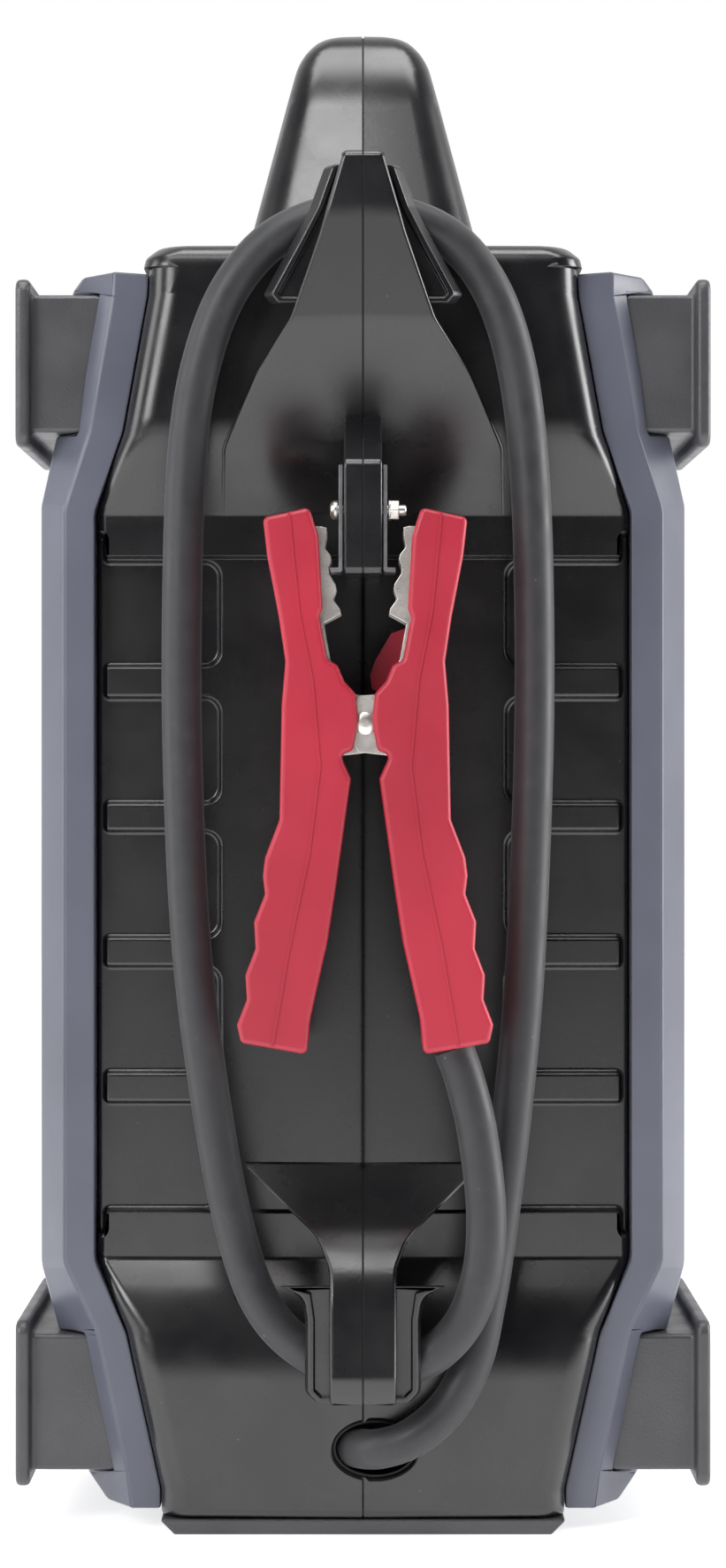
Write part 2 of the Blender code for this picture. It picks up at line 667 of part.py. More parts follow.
def battery():
    width, length, height = BATTERY
    top = BATTERY_Z + height
    half_x, half_y = width / 2, length / 2
    corners = [(-half_x, -half_y, 3.0), (half_x, -half_y, 3.0), (half_x, half_y, 3.0),
               (-half_x, half_y, 3.0)]
    finish(prism("battery", rounded(corners, 2), "Z", BATTERY_Z, top), "battery")
    for name, side in (("battery_terminal_positive", -1), ("battery_terminal_negative", 1)):
        y = (side * TERMINAL_Y - 6.0, side * TERMINAL_Y + 6.0)
        finish(block(name, TERMINAL_X, y, (top + GAP, top + TERMINAL_HEIGHT)), "copper")
    outer = half_x + STRAP_THICK + 1.0
    strap = block("battery_strap", (-outer, outer), (-STRAP_HALF, STRAP_HALF),
                  (CASE_BOTTOM + WALL + 0.5, top + STRAP_THICK))
    inner = half_x + GAP
    cut(strap, block("inside", (-inner, inner), (-20.0, 20.0), (0.0, top + GAP)))
    finish(strap, "steel")
    above = top + STRAP_THICK + 0.5
    bar = block("battery_link", (-22.0, -14.0), (-64.0 + GAP, -30.0), (above, above + 2.0))
    finish(bar, "copper")
    fuse_box = block("main_fuse", (-27.0, -9.0), (-29.0, 20.0), (above, above + 14.0))
    finish(fuse_box, "black")
    finish(block("control_board", *CONTROL_BOARD), "board")


# Controls on the front panel ----------------------------------------------------------------

def around(centre, half_y, half_z):
    """The Y and Z ranges of a rectangle round a centre."""
    return (centre[0] - half_y, centre[0] + half_y), (centre[1] - half_z, centre[1] + half_z)


def panel():
    plate = block("control_panel", (90.6, PANEL_FACE), PANEL_Y, PANEL_Z)
    y, z, wide, high = DISPLAY
    half_y, half_z = wide / 2, high / 2
    holes = [block("hole", (80.0, 120.0), *around((y, z), half_y, half_z))]
    for centre, radius in ((SWITCH, 7.0), (TEST_BUTTON, 7.0), (LIGHT_BUTTON, 7.0),
                           (POWER_SOCKET, 14.5)):
        holes.append(disc("hole", "X", centre, radius, 80.0, 120.0, 24))
    for centre, half in ((USB_SOCKET, (8.5, 5.5)), (CHARGE_INLET, (7.5, 7.5))):
        holes.append(block("hole", (80.0, 120.0), *around(centre, *half)))
    finish(cut(plate, *holes), "black")
    window = block("display_window", (91.4, 93.3), *around((y, z), half_y - GAP, half_z - GAP))
    finish(window, "window")


def buttons():
    for name, centre in (("test_button", TEST_BUTTON), ("light_button", LIGHT_BUTTON)):
        cap = disc(name, "X", centre, 6.6, 88.0, PANEL_FACE + 2.0, 24)
        flange = disc("flange", "X", centre, 8.2, 86.8, 88.6, 24)
        finish(fuse(cap, flange), "rubber")
        pivot_at(cap, (88.0, *centre))


def master_switch():
    knob = disc("switch_knob", "X", SWITCH, 16.0, PANEL_FACE + GAP, PANEL_FACE + 3.0, 28)
    bar = block("bar", (PANEL_FACE + 2.5, 98.9), (SWITCH[0] - 4.0, SWITCH[0] + 4.0),
                (SWITCH[1] - 15.0, SWITCH[1] + 15.0))
    stem = disc("stem", "X", SWITCH, 6.0, 82.6, PANEL_FACE + 1.0, 20)
    finish(fuse(knob, bar, stem), "red")
    pivot_at(knob, (PANEL_FACE, *SWITCH))
    body = disc("switch_body", "X", SWITCH, SWITCH_BODY_RADIUS, 60.0, 82.0, 24)
    finish(body, "black")


def hinged_cap(name, centre, half_y, half_z, key):
    """Flip cover whose hinge barrel runs along Y above its socket."""
    low = PANEL_FACE + GAP
    plate = block(name, (low, low + CAP_THICK), *around(centre, half_y, half_z))
    hinge_z = centre[1] + half_z + 1.0
    hinge_x = low + 1.6
    barrel = prism("barrel", circle((hinge_x, hinge_z), 1.6, 10), "Y",
                   centre[0] - half_y + 1.0, centre[0] + half_y - 1.0)
    lift = block("lift", (low + 1.0, low + 4.0), (centre[0] - 4.0, centre[0] + 4.0),
                 (centre[1] - half_z - 1.8, centre[1] - half_z + 1.0))
    finish(fuse(plate, barrel, lift), key)
    return pivot_at(plate, (hinge_x, centre[0], hinge_z))


def sockets():
    power = disc("power_socket", "X", POWER_SOCKET, SOCKET_RADIUS, 58.0, PANEL_FACE - GAP, 24)
    cut(power, disc("bore", "X", POWER_SOCKET, 10.7, 62.0, 120.0, 24))
    finish(power, "black")
    depth = (78.0, PANEL_FACE - GAP)
    usb = block("usb_socket", depth, *around(USB_SOCKET, 8.2, 5.2))
    cut(usb, block("slot", (81.0, 120.0), *around(USB_SOCKET, 6.6, 3.0)))
    finish(usb, "steel")
    inlet = block("charge_inlet", depth, *around(CHARGE_INLET, 7.2, 7.2))
    cut(inlet, disc("bore", "X", CHARGE_INLET, 4.2, 81.0, 120.0, 16))
    finish(inlet, "black")
    hinged_cap("power_socket_cap", POWER_SOCKET, 16.0, 16.0, "rubber")
    hinged_cap("usb_cap", USB_SOCKET, 11.0, 8.0, "rubber")
    hinged_cap("charge_cap", CHARGE_INLET, 10.5, 10.5, "rubber")


def main():
    clear_scene()
    case()
    grommets()
    work_light()
    covers()
    feet()
    base_pad()
    holder_hardware()
    clamp()
    cable()
    battery()
    panel()
    buttons()
    master_switch()
    sockets()


main()
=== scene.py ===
import math

import bmesh
import bpy
from mathutils import Matrix, Vector


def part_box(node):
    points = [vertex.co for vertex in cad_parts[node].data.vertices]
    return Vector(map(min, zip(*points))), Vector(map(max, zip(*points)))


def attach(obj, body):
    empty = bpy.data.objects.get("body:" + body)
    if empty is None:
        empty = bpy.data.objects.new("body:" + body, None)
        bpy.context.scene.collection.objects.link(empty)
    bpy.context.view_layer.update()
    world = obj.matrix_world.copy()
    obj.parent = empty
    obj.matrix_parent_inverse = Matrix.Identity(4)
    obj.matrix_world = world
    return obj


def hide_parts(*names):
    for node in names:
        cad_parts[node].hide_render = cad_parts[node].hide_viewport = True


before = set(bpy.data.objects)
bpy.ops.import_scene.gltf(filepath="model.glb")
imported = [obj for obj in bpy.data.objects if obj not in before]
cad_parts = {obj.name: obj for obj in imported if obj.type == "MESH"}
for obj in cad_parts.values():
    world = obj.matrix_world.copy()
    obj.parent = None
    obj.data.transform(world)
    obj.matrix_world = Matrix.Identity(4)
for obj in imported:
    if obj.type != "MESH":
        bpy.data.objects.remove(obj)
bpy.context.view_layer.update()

MM = 0.001
GAP = 0.3
WALL = 3.0
# The reach of a cutter that passes every side of the pack, and of smaller ones round the case,
# the hooks, the bolts and the cable rings. Solids to be joined overlap.
FAR = 200.0
CASE_CUT = 100.0
HOOK_CUT = 60.0
BOLT_CUT = 20.0
RING_CUT = 5.0
OVERLAP = 0.5

# Case outlines: half width against height and half depth against height, with corner radii,
# and the radius of the upright corners against height.
CASE_SIDE = [(57.4, 4.8, 0.6), (57.4, 12, 6), (67.2, 56, 14), (76.3, 77, 10),
             (76.3, 290.5, 10), (68.2, 313.3, 14), (61.2, 352, 4), (60.9, 359.3, 0.2),
             (62.6, 359.7, 0.3), (62, 362.4, 2), (58, 366, 4)]
CASE_END = [(140, 4.8, 3), (140, 58, 50), (128, 77, 2.5), (128, 90, 0.3),
            (126, 90.8, 0.3), (126, 277.2, 0.3), (128, 278, 0.3), (128, 290, 3),
            (140, 309.8, 26), (140, 366, 6.5)]
CASE_CORNER = [(8, 0), (8, 58), (3, 77), (3, 290), (9, 312), (9, 370)]
CASE_DRAFT = 0.02
CORNER_STEPS = 6
HANDLE_SIDE = [(44, 362, 0), (43, 365.8, 0), (33.6, 368, 7), (18.8, 427, 18),
               (11.5, 435, 11)]
HANDLE_END = [(128, 362, 0), (127, 365.8, 0), (118.3, 368, 7), (100, 419.5, 58),
              (88, 435, 16)]
HANDLE_CORNER = [(12, 360), (12, 372), (8, 425), (5, 436)]
HANDLE_DRAFT = 0.045
CAVITY_SIDE = [(54.4, 7.8, 0), (54.4, 12, 0), (64.2, 56, 0), (73.3, 77, 0),
               (73.3, 290.5, 0), (65.2, 313.3, 0), (58.2, 352, 0), (55, 363, 0)]
CAVITY_END = [(135, 7.8, 0), (135, 56, 0), (119, 79, 0), (119, 289, 0),
              (135, 312, 0), (135, 363, 0)]
CAVITY_CORNER = [(4, 0), (4, 500)]
# The joint between the case halves, the strip inside it, and how far the strip sits in.
SEAM_HALF = 0.28
STRIP_HALF = 0.6
STRIP_SINK = 0.5
# The opening under the grip, and the reliefs that leave the grip narrower than its feet.
FINGER_HOLE = [(-74, 358, 0), (74, 358, 0), (74, 403, 12), (-74, 403, 12)]
GRIP_RELIEF = [(-68, 370, 0), (68, 370, 0), (60, 440, 0), (-60, 440, 0)]
GRIP_HALF_WIDTH = 17.0
LAMP_POCKET_X = (11, 60)
BODY_EDGE = 1.2
HANDLE_EDGE = 1.6
RIM_EDGE = 0.4
POST_EDGE = 0.8

# The recess between the covers on each end face: its bays, its floor and its side channels.
BAY_HEIGHTS = [(90.8, 121.4), (130, 160.4), (168.8, 199.2), (207.3, 237.5), (246.6, 276.5)]
BAY_INNER, BAY_OUTER = 41, 74.5
BAY_FLOOR = 122.2
BAY_TOP = 150.0
BAY_CORNER = 4.5
CHANNEL_X = (73.9, 81.6)
CHANNEL_Z = (84, 284)
FRONT_WALL = (70, 80)
SWITCH_WAY = 23.0

COVER_INNER = [(61.1, 358.2, 0), (61.5, 352, 4), (68.5, 313.3, 14), (76.6, 290.5, 10),
               (76.6, 77, 10), (67.5, 56, 14), (57.7, 12, 6), (57.7, 6, 0)]
COVER_BAND = [(71, 359, 0), (71.2, 352, 6), (77.8, 314, 14), (85.2, 291, 10),
              (85.2, 76.5, 10), (75.5, 56, 14), (67.3, 17, 6), (66, 6, 0)]
COVER_FACE = [(81, 359, 0), (84, 355, 3), (88.5, 314, 14), (93.1, 293, 10),
              (93.1, 74, 10), (88, 55, 14), (79.5, 14, 6), (74, 6, 0)]
# How the cover runs from its band edge to its main face: (depth, share of the way).
COVER_RUN = [(130, 0), (129.8, 0.03), (117.5, 0.93), (115.2, 0.985), (112, 1)]
COVER_Z = (6, 359)
COVER_HOLLOW_X = 40.0
COVER_HOLLOW_Y = 113.0
# Sunk bars across the rear cover: how many, the lowest, their pitch and their size.
BARS = 5
BAR_FIRST = 120.0
BAR_PITCH = 24.0
BAR_HEIGHT = 12.0
BAR_HALF = 60.0
BAR_FLOOR = 91.6

FOOT_Y = (36, 125)
FOOT_BLOCKS = {"upper": (313.5, 353), "lower": (16, 55)}
FOOT_INNER = 68.6
FOOT_OUT = 95.3
SOLE_OUT = 99.4
SOLE_RIM = 4.3
SOLE_CORNER = 4.0
BASE_PAD = [(-53.5, 0, 1), (53.5, 0, 1), (58, 4.5, 0.6), (-58, 4.5, 0.6)]
BASE_PAD_Y = 137.5

UPPER_HOOK_END = [(124, 288, 0), (126.2, 288, 0), (140.2, 309.8, 8),
                  (158, 342, 14), (164.5, 372, 30), (165.5, 388.5, 2.2),
                  (157.5, 388.5, 2), (153.6, 364, 3), (151, 361.2, 1),
                  (137.5, 361.2, 0), (137.5, 312.5, 0), (124, 290, 0)]
UPPER_HOOK_FRONT = [(41, 288, 0), (40, 308, 8), (30, 328.5, 20),
                    (20.3, 342.8, 16), (12, 366, 20), (6.4, 385, 3), (5.2, 389, 1)]
UPPER_RIM_FRONT = [(26, 347, 0), (28, 349.5, 1.5), (20.4, 363.4, 12),
                   (15, 373.8, 12), (10.8, 385.6, 2)]
UPPER_RIM_Y = (153.8, 157.4)
UPPER_RIM_LEAN = 2.6
LOWER_HOOK_END = [(124, 104.5, 0), (126.2, 104.5, 0), (152, 86.5, 38),
                  (161.5, 74, 30), (166, 46, 9), (162.8, 41, 0.6), (162, 41, 0),
                  (158.8, 43, 0.5), (158.8, 66, 2), (155, 68.5, 1.5), (134.5, 68.5, 0),
                  (124, 82, 0)]
LOWER_HOOK_FRONT = [(35, 105, 0), (33.5, 103, 1), (12.8, 86, 14), (9.4, 78, 10),
                    (9.2, 40, 0)]
LOWER_RIM_FRONT = [(23.5, 73.5, 0), (17.2, 70.5, 5), (16.3, 64, 3), (16.3, 44, 3),
                   (13.5, 41.2, 2)]
LOWER_RIM_Y = (157.8, 160.3)
LOWER_RIM_LEAN = 1.2
RIM_LIP = 1.5
RIM_GROOVE = 1.8

POST_HALF = 5.3
POST_END = [(124, 270.8, 0), (169, 270.8, 1.5), (170.2, 272.5, 1), (170.2, 302, 3),
            (143, 317, 2), (124, 317, 0)]
PLATE_THICK = 1.1
PLATE_Z = (271.5, 301)
PLATE_Y = (147.5, 169)
TAB_REACH = 9.0
TAB_THICK = 1.2
BOLT_Z = 289.0
BOLT_Y = 160.0
BOLT_RADIUS = 1.5
HEAD_RADIUS = 2.7
# The bolt's domed head, from its top down: (height over the plate, radius).
BOLT_HEAD = [(2.2, 0.9), (2.1, 1.7), (1.7, 2.3), (1, HEAD_RADIUS), (0, HEAD_RADIUS)]
BOLT_TAIL = (4.7, 5)
NUT_HEIGHT = 3.0
WASHER = 0.7
THREAD = 0.1
DRIVE = (1.0, 4.0, 1.2)

CLAMP_X = 0.6
PIVOT_Z = 229.8
CLAMP_Y = (145.2, 171)
CHEEK = 2.6
GRIP_EDGE = 1.5
JAW_EDGE = 0.25
HALF_OUTLINE = [(12.9, 51.7), (15.4, 59.4), (28.2, 56.6), (27, 46), (23.8, 29.3),
                (22, 17), (23, 5), (23.6, -26.5), (27.6, -37), (28.2, -42),
                (27.6, -47), (30.6, -54.6), (30.2, -62), (33, -69.3), (32.6, -76),
                (35.3, -83), (34.2, -88), (16, -91.2), (15.2, -82), (10.4, -60.6),
                (8.2, -46.3), (3.9, -15.3), (6.9, -8.6), (3.4, -7.6), (2.3, -2), (2, 2.2),
                (2.6, 8.1), (5.7, 11.5), (7.6, 16), (10.4, 17.5), (12.6, 29.3), (11.7, 31.5)]
POCKET = [(-2, 60.5), (12, 64), (25.2, 62), (25.2, 46), (21.2, 29.3), (19.6, 17),
          (20.4, 5), (20.8, -27.5), (24, -40), (27, -60), (29.5, -78),
          (14, -78), (4, -45), (0, -20), (-2, 0)]
SEAM = [(21, 57.8), (18.2, 30), (14.6, 12), (12.5, -12), (15.5, -36), (21, -62),
        (25.6, -89)]
JAW_Y = {"right": (148.2, 168), "left": (149.8, 166.4)}
JAW_SHEET = 1.2
JAW_TEETH = [(11.4, 27.6, 0.2), (6.6, 30.2, 0.4), (6.9, 31.6, 0.5), (8.8, 34.3, 0.5),
             (7.9, 37, 0.5), (8.1, 38.4, 0.6), (10, 41.4, 0.4), (10, 43.2, 0.4),
             (9.3, 45, 0.5), (9.5, 46.4, 0.6), (11.2, 48.6, 0.5), (10.6, 52, 0.5),
             (10.6, 54, 0.2), (12.4, 54.4, 0.2)]
JAW_BACK = [(23.8, 54), (24.6, 46), (20.6, 29.3), (18.9, 17), (19.6, 5), (19.6, -22),
            (12, -24)]
JAW_EAR = [(7, -9), (-1.8, -8), (-4.8, -3), (-4.8, 3), (-1.8, 7.6), (3.4, 8),
           (9.6, 17.6)]
FAR_CHEEK = [(9, 8), (1.9, 9.7), (1.4, 13.7), (2.8, 17.7), (7.3, 25.4), (13.5, 27.6),
             (14.5, 12)]
JAW_INSIDE = [(-10, 70), (22.6, 70), (23.2, 46), (19.2, 29.3), (17.5, 17), (18.2, 5),
              (18.2, -30), (-10, -30)]
SEAM_RIDGE = 0.36
PIN_RADIUS = 2.4
PIN_PROFILE = [(-169.3, 0.8), (-169.2, 2), (-168.8, 2.9), (-168.3, 3.2), (-168.2, PIN_RADIUS),
               (-148, PIN_RADIUS), (-147.9, 3.2), (-147.2, 2.6), (-147, 1)]
SPRING_RADIUS = 4.6
SPRING_WIRE = 1.5
SPRING_TURNS = 4
SPRING_Y = -153.6
SPRING_RUN = 8.6
SPRING_START = math.radians(60)
SPRING_LEG = (8.5, -5)

CABLE_RADIUS = 5.6
CABLE_ROUTE = [(-5.5, -124.5, 23.8), (-1.6, -135.2, 24.2), (4.8, -144.2, 25.6),
               (14, -147.8, 29.4), (24, -147.2, 38), (31, -146.2, 51),
               (34.5, -144.8, 66), (37.5, -143.8, 84), (41.5, -144.5, 116),
               (45.5, -145.6, 160), (48, -146.3, 222), (48, -146.6, 270),
               (46.5, -146.8, 305), (43, -146.8, 331), (36.5, -147, 351),
               (26, -147, 365), (13, -147, 371.8), (0, -147, 373.6),
               (-13, -147, 371.8), (-26.5, -147, 365), (-38, -146.9, 351),
               (-45.5, -146.8, 331), (-49.3, -146.7, 307), (-50.8, -146.4, 270),
               (-50.8, -146, 222), (-48.5, -145.6, 170), (-43.5, -145.6, 128),
               (-37, -146.4, 92), (-29, -148.4, 68), (-16.5, -150.2, 54.5),
               (0, -150.2, 48.6), (15.5, -151.2, 51), (27, -154.2, 61),
               (33, -156.4, 76), (34.3, -157.4, 94), (31.8, -158, 116),
               (28.2, -158.1, 131), (25.2, -158.1, 139.4)]
CABLE_POINTS = 320
KNOT_STEPS = 12
# Where the cable enters the clamp, and the levels of its way in, from the pivot.
CABLE_ENTRY = (24.6, -158.1)
CABLE_WAY = (-110, -76)
GROMMET = (3.4, 24.6)
GROMMET_Y = (136.8, 138.6)
EXIT_PLAY = 0.6
EXIT_Y = (130, 150)
GROMMET_OUT = (13.2, 9.4)
GROMMET_IN = (11.2, 7.4)

PANEL_BACK = 90.6
PANEL_FACE = 93.6
PANEL_CUT = (80, 120)
PANEL_CORNER = 5.0
DISPLAY = (-38, 218)
DISPLAY_HALF = (26, 12)
GLASS_X = (91.4, 93.3)
SWITCH = (36, 222)
BUTTONS = {"test_button": (-50, 190), "light_button": (-26, 190)}
POWER_SOCKET = (-40, 150)
USB_SOCKET = (8, 150)
CHARGE_INLET = (48, 150)
SOCKET_RADIUS = 14.2
USB_HALF = (8.5, 5.5)
CHARGE_HALF = (7.5, 7.5)
BUTTON_HOLE = 7.0
# Raised borders on the panel: margins round the display, radii of the rings, and their height.
BEZEL = (0.4, 3.0)
SWITCH_RING = (17, 19.6)
BUTTON_RING = (7.4, 9.4)
RAISE = 0.8
BUTTON_PROFILE = [(86.8, 8.2), (88.4, 8.2), (88.6, 6.6), (94.8, 6.6), (95.4, 6.2), (95.6, 5.4),
                  (95.2, 3), (95.1, 0.6)]
SCREWS = [(y, z) for z in (126, 256) for y in (-72, 72)]
# A screw head over the panel's face: (height, radius).
SCREW_HEAD = [(-1, 3.4), (0.2, 3.4), (0.7, 2.9), (1, 1.8)]
SCREW_SLOT = (0.3, 3)
SLOT_SIZE = ((-2.1, 2.1), (-0.4, 0.4))
SCREW_TURNS = (20, 110)
KNOB_PROFILE = [(82.6, 5.8), (82.8, 6), (93.9, 6), (93.9, 16), (95.5, 16), (96.3, 15.2),
                (96.6, 14)]
KNOB_BAR = [(-4, -15, 3), (4, -15, 3), (3.2, 15, 2.4), (-3.2, 15, 2.4)]
KNOB_TOP = 98.9
# Hinged caps on the panel, each with the half width and half height of its flap.
CAPS = {"power_socket_cap": (POWER_SOCKET, 16, 16), "usb_cap": (USB_SOCKET, 11, 8),
        "charge_cap": (CHARGE_INLET, 10.5, 10.5)}
# A cap's flap and its raised middle over the panel, the middle's margin, and its hinge pin.
CAP_FLAP = 2.2
CAP_RAISE = 2.7
CAP_MARGIN = 2.5
CAP_PIN = 1.6
LIP_HALF = 4.0

# Edges sharper than the first angle are bevelled, shading breaks at the second, and edges
# flatter than the third are dissolved. Corners closer than MERGE become one.
SHARP_ANGLE = 28.0
SHADE_ANGLE = 40.0
FLAT_ANGLE = 0.5
MERGE = 0.02


# ---- Camera ----

CAMERA_PLACE = (0.0, -1.24, 0.2215)
CAMERA_LENS = 89.3
CAMERA_SHIFT = -0.0195


def add_object(name, data):
    obj = bpy.data.objects.new(name, data)
    bpy.context.scene.collection.objects.link(obj)
    return obj


def camera():
    data = bpy.data.cameras.new("camera")
    data.lens = CAMERA_LENS
    data.shift_y = CAMERA_SHIFT
    obj = add_object("camera", data)
    obj.location = CAMERA_PLACE
    obj.rotation_euler = (math.radians(90.0), 0.0, 0.0)
    bpy.context.scene.camera = obj


# ---- Mesh helpers ----

def rounded(points, steps=8):
    """Outline with each (a, b, radius) corner replaced by an arc."""
    outline = []
    count = len(points)
    for index, (a, b, radius) in enumerate(points):
        corner = Vector((a, b))
        if radius <= 0.0:
            outline.append((a, b))
            continue
        before = Vector(points[index - 1][:2]) - corner
        after = Vector(points[(index + 1) % count][:2]) - corner
        before.normalize()
        after.normalize()
        half = before.angle(after) / 2.0
        reach = radius / math.tan(half)
        centre = corner + (before + after).normalized() * (radius / math.sin(half))
        start = corner + before * reach - centre
        end = corner + after * reach - centre
        turn = start.angle_signed(end)
        for step in range(steps + 1):
            spoke = start.copy()
            spoke.rotate(Matrix.Rotation(-turn * step / steps, 2))
            outline.append(tuple(centre + spoke))
    return outline


def mirrored(half):
    """Closed outline from a half outline that runs bottom to top at positive values."""
    return list(half) + [(-point[0], *point[1:]) for point in reversed(half)]


def flipped(outline, side):
    return [(side * point[0], *point[1:]) for point in outline]


def with_radius(points, radius):
    return [(a, b, radius) for a, b in points]


def rectangle(across, up, radius=0.0):
    (left, right), (low, high) = across, up
    return [(left, low, radius), (right, low, radius), (right, high, radius),
            (left, high, radius)]


def span(side, near, far):
    """Two distances from the middle on one side, in rising order."""
    return sorted((side * near, side * far))


def cad_spans(name):
    """A CAD node's X, Y and Z ranges in millimetres."""
    low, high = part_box(name)
    return [(low[axis] / MM, high[axis] / MM) for axis in range(3)]


def widened(ends, amount):
    return ends[0] - amount, ends[1] + amount


def made_object(name, builder):
    mesh = bpy.data.meshes.new(name)
    builder.to_mesh(mesh)
    builder.free()
    return add_object(name, mesh)


def loft(name, rings):
    builder = bmesh.new()
    rows = [[builder.verts.new(Vector(point) * MM) for point in ring] for ring in rings]
    for lower, upper in zip(rows, rows[1:]):
        for index in range(len(lower)):
            follow = (index + 1) % len(lower)
            builder.faces.new((lower[index], lower[follow], upper[follow], upper[index]))
    builder.faces.new(rows[0])
    builder.faces.new(rows[-1])
    bmesh.ops.recalc_face_normals(builder, faces=builder.faces)
    return made_object(name, builder)


def loft_along(name, axis, sections):
    """Loft of (level, outline) sections along X (y, z), Y (x, z) or Z (x, y)."""
    place = {"X": lambda a, b, c: (c, a, b), "Y": lambda a, b, c: (a, c, b),
             "Z": lambda a, b, c: (a, b, c)}[axis]
    return loft(name, [[place(a, b, level) for a, b in outline] for level, outline in sections])


def prism(name, outline, axis, low, high):
    return loft_along(name, axis, [(low, outline), (high, outline)])


def inset(outline, amount):
    """Outline moved inwards by an amount."""
    area = sum(a[0] * b[1] - b[0] * a[1] for a, b in zip(outline, outline[1:] + outline[:1]))
    turn = 1.0 if area > 0.0 else -1.0
    moved = []
    count = len(outline)
    for index in range(count):
        before = Vector(outline[index]) - Vector(outline[index - 1])
        after = Vector(outline[(index + 1) % count]) - Vector(outline[index])
        before.normalize()
        after.normalize()
        first = Vector((-before.y, before.x)) * turn
        second = Vector((-after.y, after.x)) * turn
        middle = (first + second).normalized()
        moved.append(tuple(Vector(outline[index]) + middle * amount / max(0.5, middle.dot(first))))
    return moved


def pillow(name, outline, axis, low, high, edge, steps):
    """Prism whose two end faces have rounded rims."""
    ends = []
    for step in range(steps + 1):
        angle = math.radians(90.0 * step / steps)
        ends.append((edge * (1.0 - math.sin(angle)), edge * (1.0 - math.cos(angle))))
    levels = [(low + rise, amount) for amount, rise in ends]
    levels += [(high - rise, amount) for amount, rise in reversed(ends)]
    return loft_along(name, axis, [(level, inset(outline, amount)) for level, amount in levels])


def block(name, x, y, z):
    return prism(name, rounded(rectangle(x, y)), "Z", *z)


def oval(centre, half_a, half_b, sides):
    turns = [2 * math.pi * index / sides for index in range(sides)]
    return [(centre[0] + half_a * math.cos(turn), centre[1] + half_b * math.sin(turn))
            for turn in turns]


def circle(centre, radius, sides):
    return oval(centre, radius, radius, sides)


def disc(name, axis, centre, radius, low, high, sides=48):
    return prism(name, circle(centre, radius, sides), axis, low, high)


def turned(name, axis, centre, profile, sides=48):
    """Turned piece: the profile lists (level, radius) along the axis."""
    return loft_along(name, axis, [(level, circle(centre, radius, sides))
                                   for level, radius in profile])


def combine(target, tool, operation):
    """Apply a Boolean of tool to target and drop the tool."""
    modifier = target.modifiers.new("combine", "BOOLEAN")
    modifier.operation = operation
    modifier.object = tool
    modifier.solver = "EXACT"
    bpy.context.view_layer.update()
    evaluated = target.evaluated_get(bpy.context.evaluated_depsgraph_get())
    mesh = bpy.data.meshes.new_from_object(evaluated)
    target.modifiers.clear()
    target.data = mesh
    bpy.data.objects.remove(tool)
    return target


def cut(target, *tools):
    for tool in tools:
        combine(target, tool, "DIFFERENCE")
    return target


def fuse(target, *tools):
    for tool in tools:
        combine(target, tool, "UNION")
    return target


def common(target, tool):
    return combine(target, tool, "INTERSECT")


def round_edges(obj, width, segments=2):
    """Bevel every sharp edge, apart from those that lie in the joint of the case halves."""
    builder = bmesh.new()
    builder.from_mesh(obj.data)
    bmesh.ops.remove_doubles(builder, verts=builder.verts, dist=MERGE * MM)
    bmesh.ops.dissolve_limit(builder, angle_limit=math.radians(FLAT_ANGLE), verts=builder.verts,
                             edges=builder.edges)
    sharp = [edge for edge in builder.edges
             if len(edge.link_faces) == 2 and edge.calc_face_angle() > math.radians(SHARP_ANGLE)
             and any(abs(vert.co.x) > 2.0 * SEAM_HALF * MM for vert in edge.verts)]
    bmesh.ops.bevel(builder, geom=sharp, offset=width * MM, segments=segments, profile=0.5,
                    affect="EDGES", clamp_overlap=False, miter_outer="ARC")
    builder.to_mesh(obj.data)
    builder.free()
    return obj


def smooth(obj):
    obj.data.shade_smooth()
    obj.data.set_sharp_from_angle(angle=math.radians(SHADE_ANGLE))
    weighted = obj.modifiers.new("even_shading", "WEIGHTED_NORMAL")
    weighted.keep_sharp = True
    return obj


def soften(obj, width, segments=2):
    """Round the sharp edges and shade the rest smooth."""
    return smooth(round_edges(obj, width, segments))


def piece(obj, look, slot, *nodes, body="root"):
    """Give a piece its material, its body and the nodes it stands for; the slot is not used."""
    obj.data.materials.clear()
    obj.data.materials.append(LOOKS[look])
    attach(obj, body)
    if nodes:
        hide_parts(*nodes)
    return obj


def smooth_route(points, count):
    """Evenly spaced points on a smooth curve through the route."""
    knots = [Vector(point) for point in points]
    ends = [knots[0] * 2 - knots[1]] + knots + [knots[-1] * 2 - knots[-2]]
    fine = []
    for index in range(1, len(ends) - 2):
        a, b, c, d = ends[index - 1:index + 3]
        for step in range(KNOT_STEPS):
            t = step / KNOT_STEPS
            fine.append(0.5 * ((2 * b) + (c - a) * t + (2 * a - 5 * b + 4 * c - d) * t * t
                               + (3 * b - a - 3 * c + d) * t ** 3))
    fine.append(knots[-1])
    lengths = [0.0]
    for before, after in zip(fine, fine[1:]):
        lengths.append(lengths[-1] + (after - before).length)
    spaced = []
    place = 0
    for index in range(count):
        goal = lengths[-1] * index / (count - 1)
        while place < len(fine) - 2 and lengths[place + 1] < goal:
            place += 1
        share = (goal - lengths[place]) / (lengths[place + 1] - lengths[place])
        spaced.append(tuple(fine[place].lerp(fine[place + 1], share)))
    return spaced


def tube(name, points, radius, resolution):
    curve = bpy.data.curves.new(name, "CURVE")
    curve.dimensions = "3D"
    curve.bevel_depth = radius * MM
    curve.bevel_resolution = resolution
    curve.use_fill_caps = True
    spline = curve.splines.new("POLY")
    spline.points.add(len(points) - 1)
    for spot, point in zip(spline.points, points):
        spot.co = (*(Vector(point) * MM), 1.0)
    spline.use_smooth = True
    return add_object(name, curve)


# ---- Materials ----

DUST_SCALE = 95.0
DUST_SPECK = 0.035
DUST_COLOUR = (0.5, 0.5, 0.52, 1.0)
BRUSH = (1.0, 1.0, 12.0)


